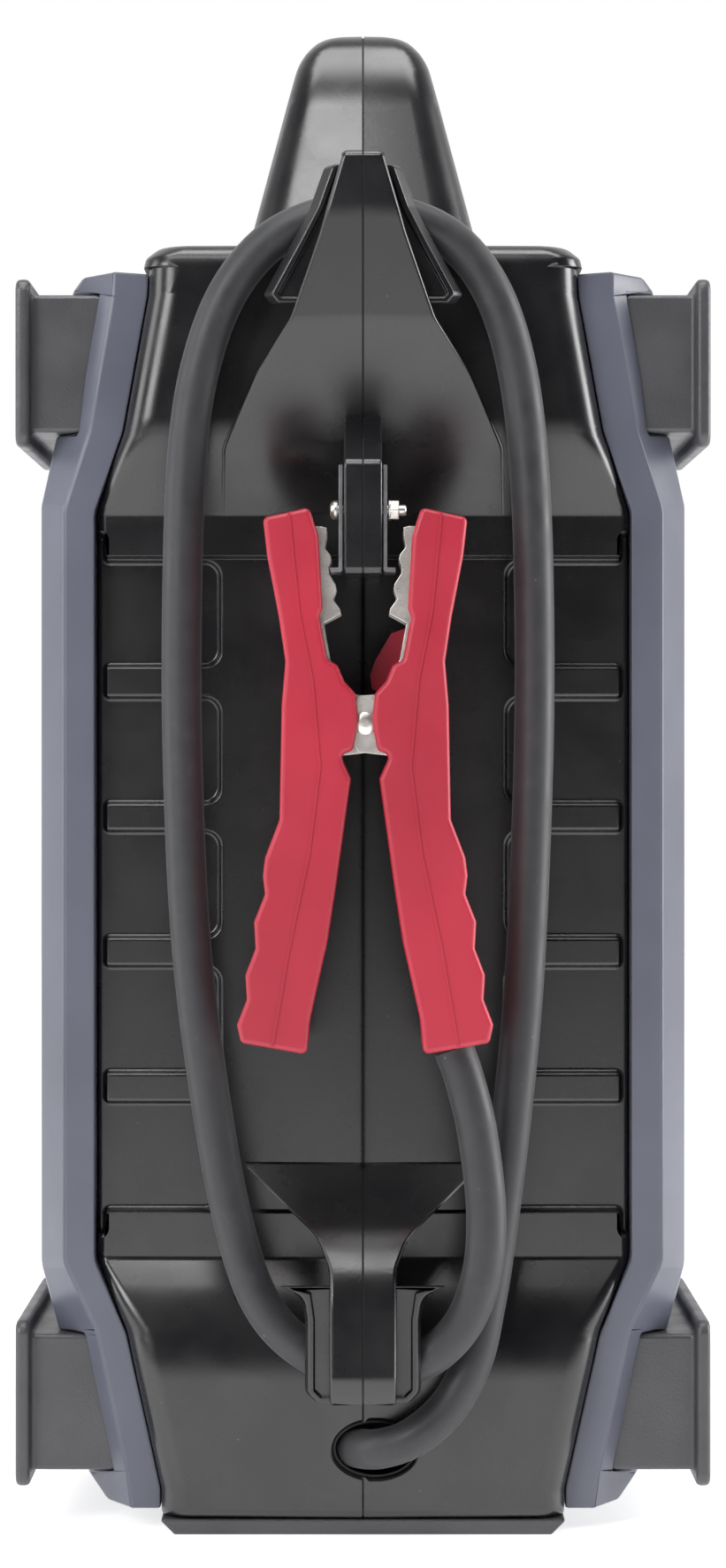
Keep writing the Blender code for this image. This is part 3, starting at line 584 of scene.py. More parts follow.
def nodes_of(name):
    made = bpy.data.materials.new(name)
    made.use_nodes = True
    tree = made.node_tree
    return made, tree, tree.nodes["Principled BSDF"]


def put(node, values):
    """Set inputs of a node that take no link."""
    for name, value in values.items():
        node.inputs[name].default_value = value


def texture(tree, kind, scale, stretch=None):
    """Texture node in object space, with an optional stretch of its axes."""
    source = tree.nodes.new("ShaderNodeTexCoord").outputs["Object"]
    if stretch:
        mapping = tree.nodes.new("ShaderNodeMapping")
        put(mapping, {"Scale": stretch})
        tree.links.new(source, mapping.inputs["Vector"])
        source = mapping.outputs["Vector"]
    node = tree.nodes.new("ShaderNodeTex" + kind)
    put(node, {"Scale": scale})
    tree.links.new(source, node.inputs["Vector"])
    return node


def noise(tree, scale, detail=3.0, roughness=0.55, stretch=None):
    node = texture(tree, "Noise", scale, stretch)
    put(node, {"Detail": detail, "Roughness": roughness})
    return node.outputs["Fac"]


def ramp(tree, source, stops):
    """Colour ramp with (place, colour) stops."""
    node = tree.nodes.new("ShaderNodeValToRGB")
    elements = node.color_ramp.elements
    while len(elements) < len(stops):
        elements.new(0.5)
    for element, (place, colour) in zip(elements, stops):
        element.position = place
        element.color = (*colour, 1.0)
    tree.links.new(source, node.inputs["Fac"])
    return node.outputs["Color"]


def spread(tree, source, low, high):
    """Map the middle of a noise to a range."""
    node = tree.nodes.new("ShaderNodeMapRange")
    put(node, {"From Min": 0.3, "From Max": 0.7, "To Min": low, "To Max": high})
    tree.links.new(source, node.inputs["Value"])
    return node.outputs["Result"]


def bump(tree, shader, height, distance, strength, under=None):
    node = tree.nodes.new("ShaderNodeBump")
    put(node, {"Distance": distance * MM, "Strength": strength})
    tree.links.new(height, node.inputs["Height"])
    if under:
        tree.links.new(under.outputs["Normal"], node.inputs["Normal"])
    tree.links.new(node.outputs["Normal"], shader.inputs["Normal"])
    return node


def tint(tree, shader, source, stops):
    tree.links.new(ramp(tree, source, stops), shader.inputs["Base Color"])


def gloss(tree, shader, source, low, high):
    tree.links.new(spread(tree, source, low, high), shader.inputs["Roughness"])


def shade(colour, factor):
    return tuple(channel * factor for channel in colour)


def grey(value):
    return (value, value, value)


def dusted(tree, colour_source, amount):
    """Rare pale specks of dust over a colour."""
    cells = texture(tree, "Voronoi", DUST_SCALE)
    mask = ramp(tree, cells.outputs["Distance"], [(0.0, grey(1.0)), (DUST_SPECK, grey(0.0))])
    factor = tree.nodes.new("ShaderNodeMath")
    factor.operation = "MULTIPLY"
    factor.inputs[1].default_value = amount
    tree.links.new(mask, factor.inputs[0])
    mix = tree.nodes.new("ShaderNodeMix")
    mix.data_type = "RGBA"
    tree.links.new(factor.outputs[0], mix.inputs["Factor"])
    tree.links.new(colour_source, mix.inputs["A"])
    mix.inputs["B"].default_value = DUST_COLOUR
    return mix.outputs["Result"]


def plastic(name, colour, roughness, grain, depth, specular, dust=0.0, coat=0.0):
    """Moulded plastic: a fine spark texture, faint cloudiness and uneven gloss."""
    made, tree, shader = nodes_of(name)
    cloud = ramp(tree, noise(tree, 18.0, 4.0),
                 [(0.35, shade(colour, 0.9)), (0.65, shade(colour, 1.1))])
    if dust:
        cloud = dusted(tree, cloud, dust)
    tree.links.new(cloud, shader.inputs["Base Color"])
    gloss(tree, shader, noise(tree, 60.0, 4.0), roughness - 0.04, roughness + 0.05)
    put(shader, {"Specular IOR Level": specular, "Coat Weight": coat, "Coat Roughness": 0.2})
    wave = bump(tree, shader, noise(tree, 26.0, 2.0), 0.25, 0.1)
    bump(tree, shader, noise(tree, 1000.0 / grain, 2.0), depth, 0.3, wave)
    return made


def leather_grain(name, colour, roughness):
    """Moulded bumper skin with a fine leather grain."""
    made, tree, shader = nodes_of(name)
    tint(tree, shader, noise(tree, 30.0),
         [(0.35, shade(colour, 0.85)), (0.65, shade(colour, 1.15))])
    gloss(tree, shader, noise(tree, 90.0), roughness - 0.05, roughness + 0.06)
    put(shader, {"Specular IOR Level": 0.6})
    cells = texture(tree, "Voronoi", 1500.0)
    wave = bump(tree, shader, cells.outputs["Distance"], 0.1, 0.4)
    bump(tree, shader, noise(tree, 1500.0, 2.0), 0.08, 0.4, wave)
    return made


def jacket(name, colour):
    """Rubber cable jacket: dull, with faint scuffs along its run."""
    made, tree, shader = nodes_of(name)
    scuff = ramp(tree, noise(tree, 240.0, 5.0, 0.65),
                 [(0.35, shade(colour, 0.8)), (0.6, colour), (0.75, shade(colour, 1.5))])
    tree.links.new(dusted(tree, scuff, 0.5), shader.inputs["Base Color"])
    gloss(tree, shader, noise(tree, 120.0, 4.0), 0.42, 0.58)
    put(shader, {"Specular IOR Level": 0.45, "Sheen Weight": 0.12, "Sheen Roughness": 0.5})
    wave = bump(tree, shader, noise(tree, 70.0), 0.3, 0.3)
    bump(tree, shader, noise(tree, 1800.0, 2.0), 0.05, 0.4, wave)
    return made


def metal(name, colour, roughness):
    """Plated steel: fine brush marks and faint cloudy stains."""
    made, tree, shader = nodes_of(name)
    tint(tree, shader, noise(tree, 160.0, 4.0), [(0.35, shade(colour, 0.8)), (0.6, colour)])
    marks = noise(tree, 700.0, 3.0, 0.6, BRUSH)
    gloss(tree, shader, marks, roughness - 0.08, roughness + 0.12)
    put(shader, {"Metallic": 1.0})
    bump(tree, shader, marks, 0.02, 0.5)
    return made


def circuit(name):
    """Green board with paler tracks and pads."""
    made, tree, shader = nodes_of(name)
    cells = texture(tree, "Voronoi", 220.0)
    cells.distance = "MANHATTAN"
    tint(tree, shader, cells.outputs["Distance"],
         [(0.1, (0.5, 0.5, 0.42)), (0.16, (0.01, 0.12, 0.04)), (0.6, (0.01, 0.18, 0.06))])
    put(shader, {"Roughness": 0.35})
    bump(tree, shader, cells.outputs["Distance"], 0.1, 0.3)
    return made


def lens_look(name):
    """Clear ribbed lens over the lamp."""
    made, tree, shader = nodes_of(name)
    ribs = texture(tree, "Wave", 120.0)
    ribs.bands_direction = "Y"
    tint(tree, shader, ribs.outputs["Fac"], [(0.0, (0.62, 0.66, 0.7)), (1.0, (0.86, 0.9, 0.93))])
    put(shader, {"Roughness": 0.12, "Transmission Weight": 0.35})
    bump(tree, shader, ribs.outputs["Fac"], 0.2, 0.6)
    return made


LOOKS = {
    "black": plastic("case_black", (0.006, 0.006, 0.0072), 0.27, 0.5, 0.03, 0.72, 0.2),
    "grey": plastic("cover_grey", (0.095, 0.099, 0.13), 0.33, 0.4, 0.03, 0.45),
    "foot": leather_grain("foot_black", (0.05, 0.05, 0.055), 0.38),
    "red": plastic("clamp_red", (0.37, 0.02, 0.04), 0.38, 0.7, 0.03, 0.42, 0.2),
    "cable": jacket("cable_black", (0.024, 0.0242, 0.0275)),
    "rubber": plastic("rubber_black", (0.013, 0.013, 0.014), 0.6, 0.4, 0.05, 0.4),
    "steel": metal("bright_steel", (0.78, 0.74, 0.7), 0.34),
    "dark_steel": metal("holder_steel", (0.26, 0.255, 0.27), 0.42),
    "panel": plastic("panel_black", (0.009, 0.009, 0.0105), 0.42, 0.35, 0.03, 0.4),
    "window": plastic("window_dark", (0.006, 0.009, 0.01), 0.1, 1.5, 0.004, 0.5, 0.0, 0.5),
    "knob": plastic("knob_red", (0.34, 0.02, 0.035), 0.34, 0.6, 0.03, 0.5),
    "battery": plastic("battery_grey", (0.045, 0.05, 0.065), 0.5, 0.5, 0.05, 0.4),
    "lead": metal("terminal_metal", (0.5, 0.42, 0.3), 0.4),
    "board": circuit("board_green"),
    "lens": lens_look("lamp_clear"),
}


# ---- Case ----

def open_outline(points):
    """Rounded outline that stays open at both ends."""
    return rounded([(0.0, points[0][1], 0.0), *points, (0.0, points[-1][1], 0.0)])[1:-1]


def value_at(line, level):
    """Value of a (value, level) line at one level."""
    for (a, low), (b, high) in zip(line, line[1:]):
        if low <= level <= high and high > low:
            return a + (b - a) * (level - low) / (high - low)
    return line[-1][0] if level >= line[-1][1] else line[0][0]


def section(half_x, half_y, radius, draft, level):
    """Level section: a rectangle with round corners whose ends lean back from the middle."""
    edge = half_y - draft * half_x
    radius = min(radius, 0.7 * half_x)
    quarter = []
    for step in range(CORNER_STEPS + 1):
        angle = math.radians(90.0 * step / CORNER_STEPS)
        quarter.append((half_x - radius + radius * math.cos(angle),
                        edge - radius + radius * math.sin(angle)))
    right = [(x, -y) for x, y in reversed(quarter)] + quarter
    left = [(-x, y) for x, y in reversed(quarter)] + [(-x, -y) for x, y in quarter]
    ring = right + [(0.0, half_y)] + left + [(0.0, -half_y)]
    return [(x, y, level) for x, y in ring]


def upright(name, side, end, corner, draft=0.0):
    """Solid lofted up through level sections, from two outlines and a corner radius."""
    side, end = open_outline(side), open_outline(end)
    bottom, top = side[0][1], side[-1][1]
    levels = sorted({round(z, 2) for _, z in side + end + corner if bottom < z < top})
    levels = [bottom, *levels, top]
    rings = [section(value_at(side, z), value_at(end, z), value_at(corner, z), draft, z)
             for z in levels]
    return loft(name, rings)


def hook_plate(end_profile, front, side):
    plate = prism("plate", rounded(flipped(end_profile, side)), "X", -HOOK_CUT, HOOK_CUT)
    return common(plate, prism("front", rounded(mirrored(front)), "Y", -FAR, FAR))


def hook_rim(front, rim_y, lean, side):
    """Wider rim behind a hook's plate, its edges leaning back by the given amount."""
    back = rounded(mirrored(front))
    near = [(x - math.copysign(min(lean, abs(x)), x), z) for x, z in back]
    rim = loft_along("rim", "Y", [(side * rim_y[0], back), (side * rim_y[1], near)])
    groove = inset(mirrored([(x - lean, z) for x, z, _ in front]), RIM_LIP)
    return cut(rim, prism("groove", groove, "Y",
                          *span(side, rim_y[1] - RIM_GROOVE, rim_y[1] + RIM_GROOVE)))


def bays(side):
    """Cutters for the bays between the ribs and the channel beside the covers."""
    made = []
    y = span(side, BAY_FLOOR, BAY_TOP)
    for hand in (-1, 1):
        for bottom, top in BAY_HEIGHTS:
            corners = [(hand * BAY_INNER, bottom, BAY_CORNER), (hand * BAY_OUTER, bottom, 0.0),
                       (hand * BAY_OUTER, top, 0.0), (hand * BAY_INNER, top, BAY_CORNER)]
            made.append(prism("bay", rounded(corners, 6), "Y", *y))
        made.append(block("channel", span(hand, *CHANNEL_X), y, CHANNEL_Z))
    return made


def grommet_oval(half, play=0.0):
    return oval(GROMMET, half[0] + play, half[1] + play, 48)


def duplicate(obj):
    return add_object("part", obj.data.copy())


def join(parts, name):
    """One object from several, each keeping its own surface."""
    builder = bmesh.new()
    for part in parts:
        builder.from_mesh(part.data)
        bpy.data.objects.remove(part)
    return made_object(name, builder)


def sunk(obj, depth):
    """Move a strip's outer faces in, square to the parting plane's normal."""
    builder = bmesh.new()
    builder.from_mesh(obj.data)
    moves = []
    for vert in builder.verts:
        away = Vector((0.0, 0.0, 0.0))
        for face in vert.link_faces:
            if abs(face.normal.x) < 0.9:
                away += Vector((0.0, face.normal.y, face.normal.z)).normalized()
        if away.length > 0.0:
            moves.append((vert, away.normalized()))
    for vert, away in moves:
        vert.co -= away * depth * MM
    builder.to_mesh(obj.data)
    builder.free()
    return obj


def case_body():
    body = upright("body", CASE_SIDE, CASE_END, CASE_CORNER, CASE_DRAFT)
    for side in (-1, 1):
        cut(body, *bays(side))
    cut(body, upright("cavity", CAVITY_SIDE, CAVITY_END, CAVITY_CORNER))
    for side in (-1, 1):
        cut(body, prism("exit", grommet_oval(GROMMET_IN, EXIT_PLAY), "Y", *span(side, *EXIT_Y)))
    cut(body, disc("way", "X", POWER_SOCKET, SOCKET_RADIUS + 1.0, *FRONT_WALL, 32))
    return cut(body, disc("way", "X", SWITCH, SWITCH_WAY, *FRONT_WALL, 32))


def case_handle():
    handle = upright("handle", HANDLE_SIDE, HANDLE_END, HANDLE_CORNER, HANDLE_DRAFT)
    cut(handle, prism("hole", rounded(FINGER_HOLE), "X", -CASE_CUT, CASE_CUT))
    for side in (1, -1):
        x = span(side, GRIP_HALF_WIDTH, HOOK_CUT)
        cut(handle, prism("relief", rounded(GRIP_RELIEF), "X", *x))
    _, y, z = cad_spans("lamp_lens")
    return cut(handle, block("lamp", LAMP_POCKET_X, widened(y, GAP), widened(z, GAP)))


def case():
    """The two case halves: body, handle, hooks and posts, each with its edges rounded."""
    solids = [(case_body(), BODY_EDGE), (case_handle(), HANDLE_EDGE)]
    for side in (-1, 1):
        post = prism("post", rounded(flipped(POST_END, side), 4), "X", -POST_HALF, POST_HALF)
        solids += [(hook_plate(UPPER_HOOK_END, UPPER_HOOK_FRONT, side), BODY_EDGE),
                   (hook_rim(UPPER_RIM_FRONT, UPPER_RIM_Y, UPPER_RIM_LEAN, side), RIM_EDGE),
                   (hook_plate(LOWER_HOOK_END, LOWER_HOOK_FRONT, side), BODY_EDGE),
                   (hook_rim(LOWER_RIM_FRONT, LOWER_RIM_Y, LOWER_RIM_LEAN, side), RIM_EDGE),
                   (post, POST_EDGE)]
    y, z = (-FAR, FAR), (-10.0, 500.0)
    for name, node, x in (("front_case_half", "front_shell", (SEAM_HALF, FAR)),
                          ("rear_case_half", "rear_shell", (-FAR, -SEAM_HALF))):
        parts = []
        for solid, width in solids:
            part = common(duplicate(solid), block("half", x, y, z))
            parts.append(round_edges(part, width, 3))
        piece(smooth(join(parts, name)), "black", "case_black", node)
    strips = []
    for solid, _ in solids:
        common(solid, block("slab", (-STRIP_HALF, STRIP_HALF), y, z))
        strips.append(sunk(solid, STRIP_SINK))
    piece(join(strips, "parting_strip"), "rubber", "rubber_trim")


# ---- Covers and feet ----

def cover_ring(y, share, side):
    """One closed ring of the cover, between its band edge and its main face."""
    band, face, inner = (open_outline(line) for line in (COVER_BAND, COVER_FACE, COVER_INNER))
    outer = [(a[0] + (b[0] - a[0]) * share, a[1] + (b[1] - a[1]) * share)
             for a, b in zip(band, face)]
    return [(side * x, y, z) for x, z in inner + list(reversed(outer))]


def foot_boxes():
    for level, (low, high) in FOOT_BLOCKS.items():
        for hand, (near, far) in (("left", (-FOOT_Y[1], -FOOT_Y[0])), ("right", FOOT_Y)):
            yield level + "_" + hand, (near, far), (low, high)


def cover(name, side):
    run = [(-y, share) for y, share in COVER_RUN]
    run += [(y, share) for y, share in reversed(COVER_RUN)]
    tray = loft(name, [cover_ring(y, share, side) for y, share in run])
    low_z, high_z = COVER_Z[0] + WALL, COVER_Z[1] - WALL
    face = [(x - WALL, min(max(z, low_z), high_z)) for x, z, _ in COVER_FACE]
    ring = [(COVER_HOLLOW_X, high_z), (COVER_HOLLOW_X, low_z)] + list(reversed(face))
    cut(tray, prism("hollow", flipped(ring, side), "Y", -COVER_HOLLOW_Y, COVER_HOLLOW_Y))
    for _, y, z in foot_boxes():
        x = span(side, FOOT_INNER - GAP, FAR)
        cut(tray, block("pocket", x, widened(y, GAP), widened(z, GAP)))
    return tray


def covers():
    front = cover("front_cover_moulding", 1)
    _, y, z = cad_spans("control_panel")
    cut(front, block("window", PANEL_CUT, widened(y, GAP), widened(z, GAP)))
    rear = cover("rear_cover_moulding", -1)
    for index in range(BARS):
        low = BAR_FIRST + BAR_PITCH * index
        bar = rectangle((-BAR_HALF, BAR_HALF), (low, low + BAR_HEIGHT), 3.0)
        cut(rear, prism("bar", rounded(bar, 4), "X", -CASE_CUT, -BAR_FLOOR))
    for obj, node in ((front, "front_cover"), (rear, "rear_cover")):
        soften(obj, 0.8)
        piece(obj, "grey", "cover_grey", node)


def feet():
    """Corner bumpers, each a block with a wider sole and rounded edges."""
    for end, side in (("front", 1), ("rear", -1)):
        for place, y, z in foot_boxes():
            name = "foot_" + end + "_" + place
            foot = block(name + "_skin", span(side, FOOT_INNER, FOOT_OUT + OVERLAP), y, z)
            sole = rectangle(widened(y, SOLE_RIM), widened(z, SOLE_RIM), SOLE_CORNER)
            fuse(foot, prism("sole", rounded(sole, 5), "X", *span(side, FOOT_OUT, SOLE_OUT)))
            soften(foot, 1.4, 3)
            piece(foot, "foot", "foot_rubber", name)


def base_pad():
    pad = prism("base_pad_skin", rounded(BASE_PAD, 4), "Y", -BASE_PAD_Y, BASE_PAD_Y)
    soften(pad, 0.6)
    piece(pad, "foot", "foot_rubber", "base_pad")


# ---- Clamp holder ----

def holder_plate(place, side, hand_name, hand):
    """Sheet plate on one side of a post, its foot bent outwards."""
    inner = POST_HALF + GAP
    outer = inner + PLATE_THICK
    low, high = PLATE_Z
    sheet = [(inner, low, 0.8), (TAB_REACH, low, 0.2), (TAB_REACH, low + TAB_THICK, 0.2),
             (outer, low + TAB_THICK, 0.3), (outer, high, 0.2), (inner, high, 0.2)]
    plate = prism(place + "_plate_" + hand_name, rounded(flipped(sheet, hand), 3), "Y",
                  *span(side, *PLATE_Y))
    centre = (side * BOLT_Y, BOLT_Z)
    cut(plate, disc("hole", "X", centre, BOLT_RADIUS + GAP, -BOLT_CUT, BOLT_CUT, 24))
    soften(plate, 0.15)
    piece(plate, "dark_steel", "bright_steel", place + "_holder_plate_" + hand_name)


def holder_hardware():
    face = POST_HALF + PLATE_THICK + 2 * GAP
    for place, side in (("near", -1), ("far", 1)):
        holder_plate(place, side, "left", -1)
        holder_plate(place, side, "right", 1)
        centre = (side * BOLT_Y, BOLT_Z)
        profile = [(-face - rise, radius) for rise, radius in BOLT_HEAD]
        profile += [(-face, BOLT_RADIUS), (face + BOLT_TAIL[0], BOLT_RADIUS),
                    (face + BOLT_TAIL[1], BOLT_RADIUS - 0.3)]
        bolt = turned(place + "_bolt", "X", centre, profile, 32)
        cut(bolt, disc("drive", "X", centre, DRIVE[0], -face - DRIVE[1], -face - DRIVE[2], 6))
        soften(bolt, 0.08)
        piece(bolt, "steel", "bright_steel", place + "_holder_bolt")
        nut = disc(place + "_nut", "X", centre, HEAD_RADIUS + 0.3, face, face + NUT_HEIGHT, 6)
        fuse(nut, disc("washer", "X", centre, HEAD_RADIUS + 0.2, face, face + WASHER, 32))
        cut(nut, disc("thread", "X", centre, BOLT_RADIUS + THREAD, 0.0, BOLT_CUT, 24))
        soften(nut, 0.25)
        piece(nut, "steel", "bright_steel", place + "_holder_nut")


# ---- Clamp ----

def clamp_shape(points, hand):
    return [(CLAMP_X + hand * point[0], PIVOT_Z + point[1], *point[2:]) for point in points]


def seam_ridge(hand, face):
    """The faint moulded line down the front of a grip."""
    line = clamp_shape(SEAM, hand)
    outline = [(x - SEAM_RIDGE, z) for x, z in line]
    outline += [(x + SEAM_RIDGE, z) for x, z in reversed(line)]
    return prism("seam", outline, "Y", face - 0.3, face + OVERLAP)


def clamp_half(hand_name, hand, body):
    outline = rounded(clamp_shape(with_radius(HALF_OUTLINE, 1.6), hand), 4)
    half = pillow("clamp_grip_" + hand_name, outline, "Y", -CLAMP_Y[1], -CLAMP_Y[0],
                  GRIP_EDGE, 4)
    cut(half, prism("pocket", clamp_shape(POCKET, hand), "Y", -CLAMP_Y[1] + CHEEK,
                    -CLAMP_Y[0] - CHEEK))
    fuse(half, seam_ridge(hand, -CLAMP_Y[1]))
    if hand_name == "right":
        cheek = rounded(with_radius(clamp_shape(FAR_CHEEK, hand), 0.6), 4)
        fuse(half, prism("cheek", cheek, "Y", -CLAMP_Y[0] - CHEEK, -CLAMP_Y[0]))
        hole = [(CLAMP_X + x, y) for x, y in circle(CABLE_ENTRY, CABLE_RADIUS + GAP, 32)]
        cut(half, prism("cable_way", hole, "Z", *(PIVOT_Z + level for level in CABLE_WAY)))
    return piece(smooth(half), "red", "clamp_red", "clamp_" + hand_name + "_half", body=body)


def jaw(hand_name, hand, body):
    low, high = JAW_Y[hand_name]
    outline = JAW_TEETH + with_radius(JAW_BACK, 0.8) + with_radius(JAW_EAR, 1.4)
    shape = rounded(clamp_shape(outline, hand), 4)
    sheet = pillow("clamp_jaw_steel_" + hand_name, shape, "Y", -high, -low, JAW_EDGE, 2)
    cut(sheet, prism("hollow", clamp_shape(JAW_INSIDE, hand), "Y", -high + JAW_SHEET,
                     -low - JAW_SHEET))
    cut(sheet, disc("hole", "Y", (CLAMP_X, PIVOT_Z), PIN_RADIUS + GAP, -FAR, -CASE_CUT, 32))
    return piece(smooth(sheet), "steel", "bright_steel", "clamp_" + hand_name + "_jaw",
                 body=body)


def spring():
    """Coil round the pivot pin, with a short leg at each end."""
    sweep = 2.0 * math.pi * SPRING_TURNS + SPRING_START
    count = SPRING_TURNS * 24
    points = []
    for index in range(count + 1):
        share = index / count
        angle = -SPRING_START - sweep * share
        points.append((CLAMP_X + SPRING_RADIUS * math.cos(angle), SPRING_Y - SPRING_RUN * share,
                       PIVOT_Z + SPRING_RADIUS * math.sin(angle)))
    reach, drop = SPRING_LEG
    first, last = Vector(points[0]), Vector(points[-1])
    points.insert(0, tuple(first + Vector((reach, 0.0, drop))))
    points.append(tuple(last + Vector((-reach, 0.0, drop))))
    coil = tube("clamp_torsion_spring", points, SPRING_WIRE / 2.0, 4)
    return piece(coil, "steel", "bright_steel", "clamp_spring")


def pivot_pin():
    pin = turned("clamp_rivet", "Y", (CLAMP_X, PIVOT_Z), PIN_PROFILE, 40)
    soften(pin, 0.05)
    return piece(pin, "steel", "bright_steel", "clamp_pivot_pin")


def clamp():
    """Right half on the case, left half on the pivot."""
    right, left = ("right", 1, "root"), ("left", -1, "clamp_left")
    return [clamp_half(*right), jaw(*right), spring(), pivot_pin(), clamp_half(*left), jaw(*left)]


# ---- Cable ----

def grommet(name, side):
    low, high = span(side, *GROMMET_Y)
    ring = prism(name + "_ring", grommet_oval(GROMMET_OUT), "Y", low, high)
    way = grommet_oval(GROMMET_IN)
    cut(ring, prism("way", way, "Y", low - RING_CUT, high + RING_CUT))
    soften(ring, 0.2)
    return piece(ring, "rubber", "rubber_trim", name)


def cable():
    route = smooth_route(CABLE_ROUTE, CABLE_POINTS)
    length = sum((Vector(b) - Vector(a)).length for a, b in zip(route, route[1:])) * MM
    lead = tube("positive_lead", route, CABLE_RADIUS, 10)
    piece(lead, "cable", "cable_black", "positive_cable")
    return lead, length


# ---- Front controls ----

def rounded_box(name, y, z, radius, low, high):
    return prism(name, rounded(rectangle(y, z, radius), 6), "X", low, high)


def around(centre, half_y, half_z):
    return widened((centre[0], centre[0]), half_y), widened((centre[1], centre[1]), half_z)


def display_box(name, margin, radius, low, high):
    """Box as large as the display and a margin round it."""
    half_y, half_z = (half + margin for half in DISPLAY_HALF)
    return rounded_box(name, *around(DISPLAY, half_y, half_z), radius, low, high)


def screw_head(corner):
    head = turned("screw", "X", corner, [(PANEL_FACE + rise, radius)
                                         for rise, radius in SCREW_HEAD], 32)
    for turn in SCREW_TURNS:
        slot = block("slot", [PANEL_FACE + rise for rise in SCREW_SLOT], *SLOT_SIZE)
        spin = Matrix.Rotation(math.radians(turn), 4, "X")
        slot.data.transform(Matrix.Translation((0.0, corner[0] * MM, corner[1] * MM)) @ spin)
        cut(head, slot)
    return head


def panel():
    """Panel plate with its openings, raised borders and screws, and the display's glass."""
    _, y, z = cad_spans("control_panel")
    plate = rounded_box("control_fascia", y, z, PANEL_CORNER, PANEL_BACK, PANEL_FACE)
    holes = [display_box("hole", 0.0, 2.0, *PANEL_CUT)]
    buttons_at = list(BUTTONS.values())
    for centre, radius in ([(centre, BUTTON_HOLE) for centre in (SWITCH, *buttons_at)]
                           + [(POWER_SOCKET, SOCKET_RADIUS + GAP)]):
        holes.append(disc("hole", "X", centre, radius, *PANEL_CUT))
    for centre, half in ((USB_SOCKET, USB_HALF), (CHARGE_INLET, CHARGE_HALF)):
        holes.append(rounded_box("hole", *around(centre, *half), 1.0, *PANEL_CUT))
    cut(plate, *holes)
    raised = (PANEL_FACE - 1.0, PANEL_FACE + RAISE)
    bezel = display_box("bezel", BEZEL[1], 3.0, *raised)
    fuse(plate, cut(bezel, display_box("hole", BEZEL[0], 2.0, *PANEL_CUT)))
    for centre, (inner, outer) in ((SWITCH, SWITCH_RING),
                                   *((centre, BUTTON_RING) for centre in buttons_at)):
        ring = disc("ring", "X", centre, outer, *raised)
        fuse(plate, cut(ring, disc("hole", "X", centre, inner, *PANEL_CUT)))
    fuse(plate, *(screw_head(corner) for corner in SCREWS))
    soften(plate, 0.45)
    piece(plate, "panel", "panel_black", "control_panel")
    glass = display_box("display_glass", -GAP, 1.8, *GLASS_X)
    soften(glass, 0.3)
    piece(glass, "window", "window_dark", "display_window")


def buttons():
    for name, centre in BUTTONS.items():
        cap = turned(name + "_cap", "X", centre, BUTTON_PROFILE)
        soften(cap, 0.12)
        piece(cap, "rubber", "rubber_trim", name, body=name)


def switch():
    knob = turned("master_switch_knob", "X", SWITCH, KNOB_PROFILE, 72)
    bar = [(SWITCH[0] + y, SWITCH[1] + z, radius) for y, z, radius in KNOB_BAR]
    fuse(knob, prism("bar", rounded(bar, 6), "X", PANEL_FACE + GAP + 1.0, KNOB_TOP))
    soften(knob, 0.7, 3)
    piece(knob, "knob", "knob_red", "switch_knob", body="switch_knob")


def hinged_cap(name, centre, half_y, half_z):
    """Flap over a socket: a raised middle, a hinge barrel above it and a finger lip below."""
    low = PANEL_FACE + GAP
    plate = rounded_box(name + "_flap", *around(centre, half_y, half_z), 3.0, low,
                        low + CAP_FLAP)
    middle = around(centre, half_y - CAP_MARGIN, half_z - CAP_MARGIN)
    fuse(plate, rounded_box("raise", *middle, 2.0, low + 1.0, low + CAP_RAISE))
    barrel = circle((low + CAP_PIN, centre[1] + half_z + 1.0), CAP_PIN, 24)
    fuse(plate, prism("barrel", barrel, "Y", centre[0] - half_y + 1.0, centre[0] + half_y - 1.0))
    foot = centre[1] - half_z
    fuse(plate, block("lift", (low + 1.0, low + 4.0), widened((centre[0], centre[0]), LIP_HALF),
                      (foot - 1.8, foot + 1.0)))
    soften(plate, 0.4)
    piece(plate, "rubber", "rubber_trim", name, body=name)


def lamp():
    x, y, z = cad_spans("lamp_lens")
    lens = rounded_box("work_light_lens", y, z, 3.0, *x)
    soften(lens, 0.5, 3)
    piece(lens, "lens", "lamp_clear", "lamp_lens")


CARRIED = {"battery": "battery", "battery_terminal_positive": "lead",
           "battery_terminal_negative": "lead", "battery_strap": "steel", "battery_link": "lead",
           "main_fuse": "panel", "control_board": "board", "lamp_board": "board",
           "switch_body": "panel", "power_socket": "panel", "usb_socket": "steel",
           "charge_inlet": "panel"}


def carried_nodes():
    """Give the frame's own nodes that stay their materials."""
    for name, look in CARRIED.items():
        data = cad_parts[name].data
        data.materials.clear()
        data.materials.append(LOOKS[look])


# ---- Studio ----

FLOOR_HALF = 3000.0
FLOOR_GLOW = 0.76
AIM = (0.0, -0.05, 0.22)
# Softboxes: name, place, aim, size and power. The strip lights the handle's near end.
LIGHTS = [("handle_strip", (-0.12, -0.56, 0.91), (0.0, -0.11, 0.4), (0.4, 0.16), 2.2),
          ("key_softbox", (-0.95, -1.25, 0.85), AIM, (0.6, 0.7), 13.0),
          ("left_softbox", (-1.35, -0.25, 0.5), AIM, (0.5, 1.3), 8.5),
          ("right_softbox", (1.35, -0.05, 0.5), AIM, (0.6, 1.3), 25.0),
          ("top_softbox", (0.0, -0.22, 1.5), AIM, (1.0, 0.45), 10.0)]
WORLD_STOPS = [(0.0, (0.012, 0.012, 0.013)), (0.35, (0.02, 0.02, 0.021)),
               (0.62, (0.3, 0.3, 0.31)), (0.85, (1.02, 1.02, 1.02))]


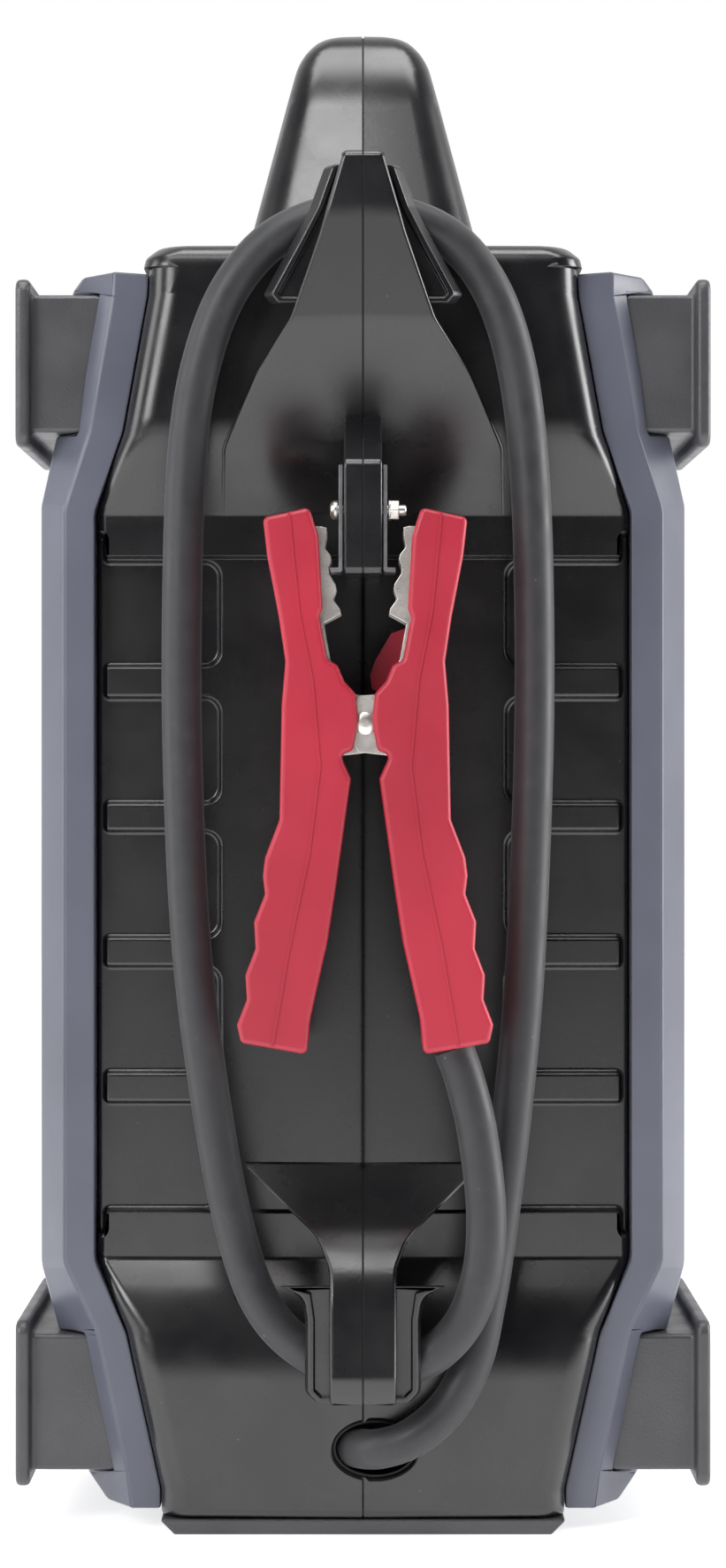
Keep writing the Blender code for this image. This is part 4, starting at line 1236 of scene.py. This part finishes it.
def floor():
    edge = (-FLOOR_HALF, FLOOR_HALF)
    plane = block("floor", edge, edge, (-2.0, 0.0))
    made, tree, shader = nodes_of("studio_floor")
    pale = ramp(tree, noise(tree, 3.0), [(0.3, grey(0.86)), (0.7, grey(0.9))])
    tree.links.new(pale, shader.inputs["Base Color"])
    tree.links.new(pale, shader.inputs["Emission Color"])
    put(shader, {"Emission Strength": FLOOR_GLOW, "Roughness": 0.7})
    plane.data.materials.append(made)


def light(name, place, aim, size, power):
    data = bpy.data.lights.new(name, "AREA")
    data.shape = "RECTANGLE"
    data.size, data.size_y = size
    data.energy = power
    obj = add_object(name, data)
    obj.location = place
    obj.rotation_euler = (Vector(aim) - Vector(place)).to_track_quat("-Z", "Y").to_euler()


def studio():
    """Floor, softboxes, and a world that is dark in front, pale behind and white to look at."""
    floor()
    for name, place, aim, size, power in LIGHTS:
        light(name, place, aim, size, power)
    world = bpy.data.worlds.new("studio")
    world.use_nodes = True
    tree = world.node_tree
    place = tree.nodes.new("ShaderNodeTexCoord")
    split = tree.nodes.new("ShaderNodeSeparateXYZ")
    tree.links.new(place.outputs["Generated"], split.inputs["Vector"])
    reach = tree.nodes.new("ShaderNodeMapRange")
    put(reach, {"From Min": -1.0, "From Max": 1.0})
    tree.links.new(split.outputs["Y"], reach.inputs["Value"])
    backdrop = tree.nodes.new("ShaderNodeMix")
    backdrop.data_type = "RGBA"
    path = tree.nodes.new("ShaderNodeLightPath")
    tree.links.new(path.outputs["Is Camera Ray"], backdrop.inputs["Factor"])
    tree.links.new(ramp(tree, reach.outputs["Result"], WORLD_STOPS), backdrop.inputs["A"])
    backdrop.inputs["B"].default_value = (1.0, 1.0, 1.0, 1.0)
    tree.links.new(backdrop.outputs["Result"], tree.nodes["Background"].inputs["Color"])
    bpy.context.scene.world = world
    bpy.context.scene.view_settings.view_transform = "Standard"


camera()
lead, lead_length = cable()
rings = [grommet("near_cable_grommet", -1), grommet("far_cable_grommet", 1)]
clamp_pieces = clamp()
case()
covers()
feet()
base_pad()
holder_hardware()
panel()
buttons()
switch()
for cap_name, cap_size in CAPS.items():
    hinged_cap(cap_name, *cap_size)
lamp()
carried_nodes()
studio()
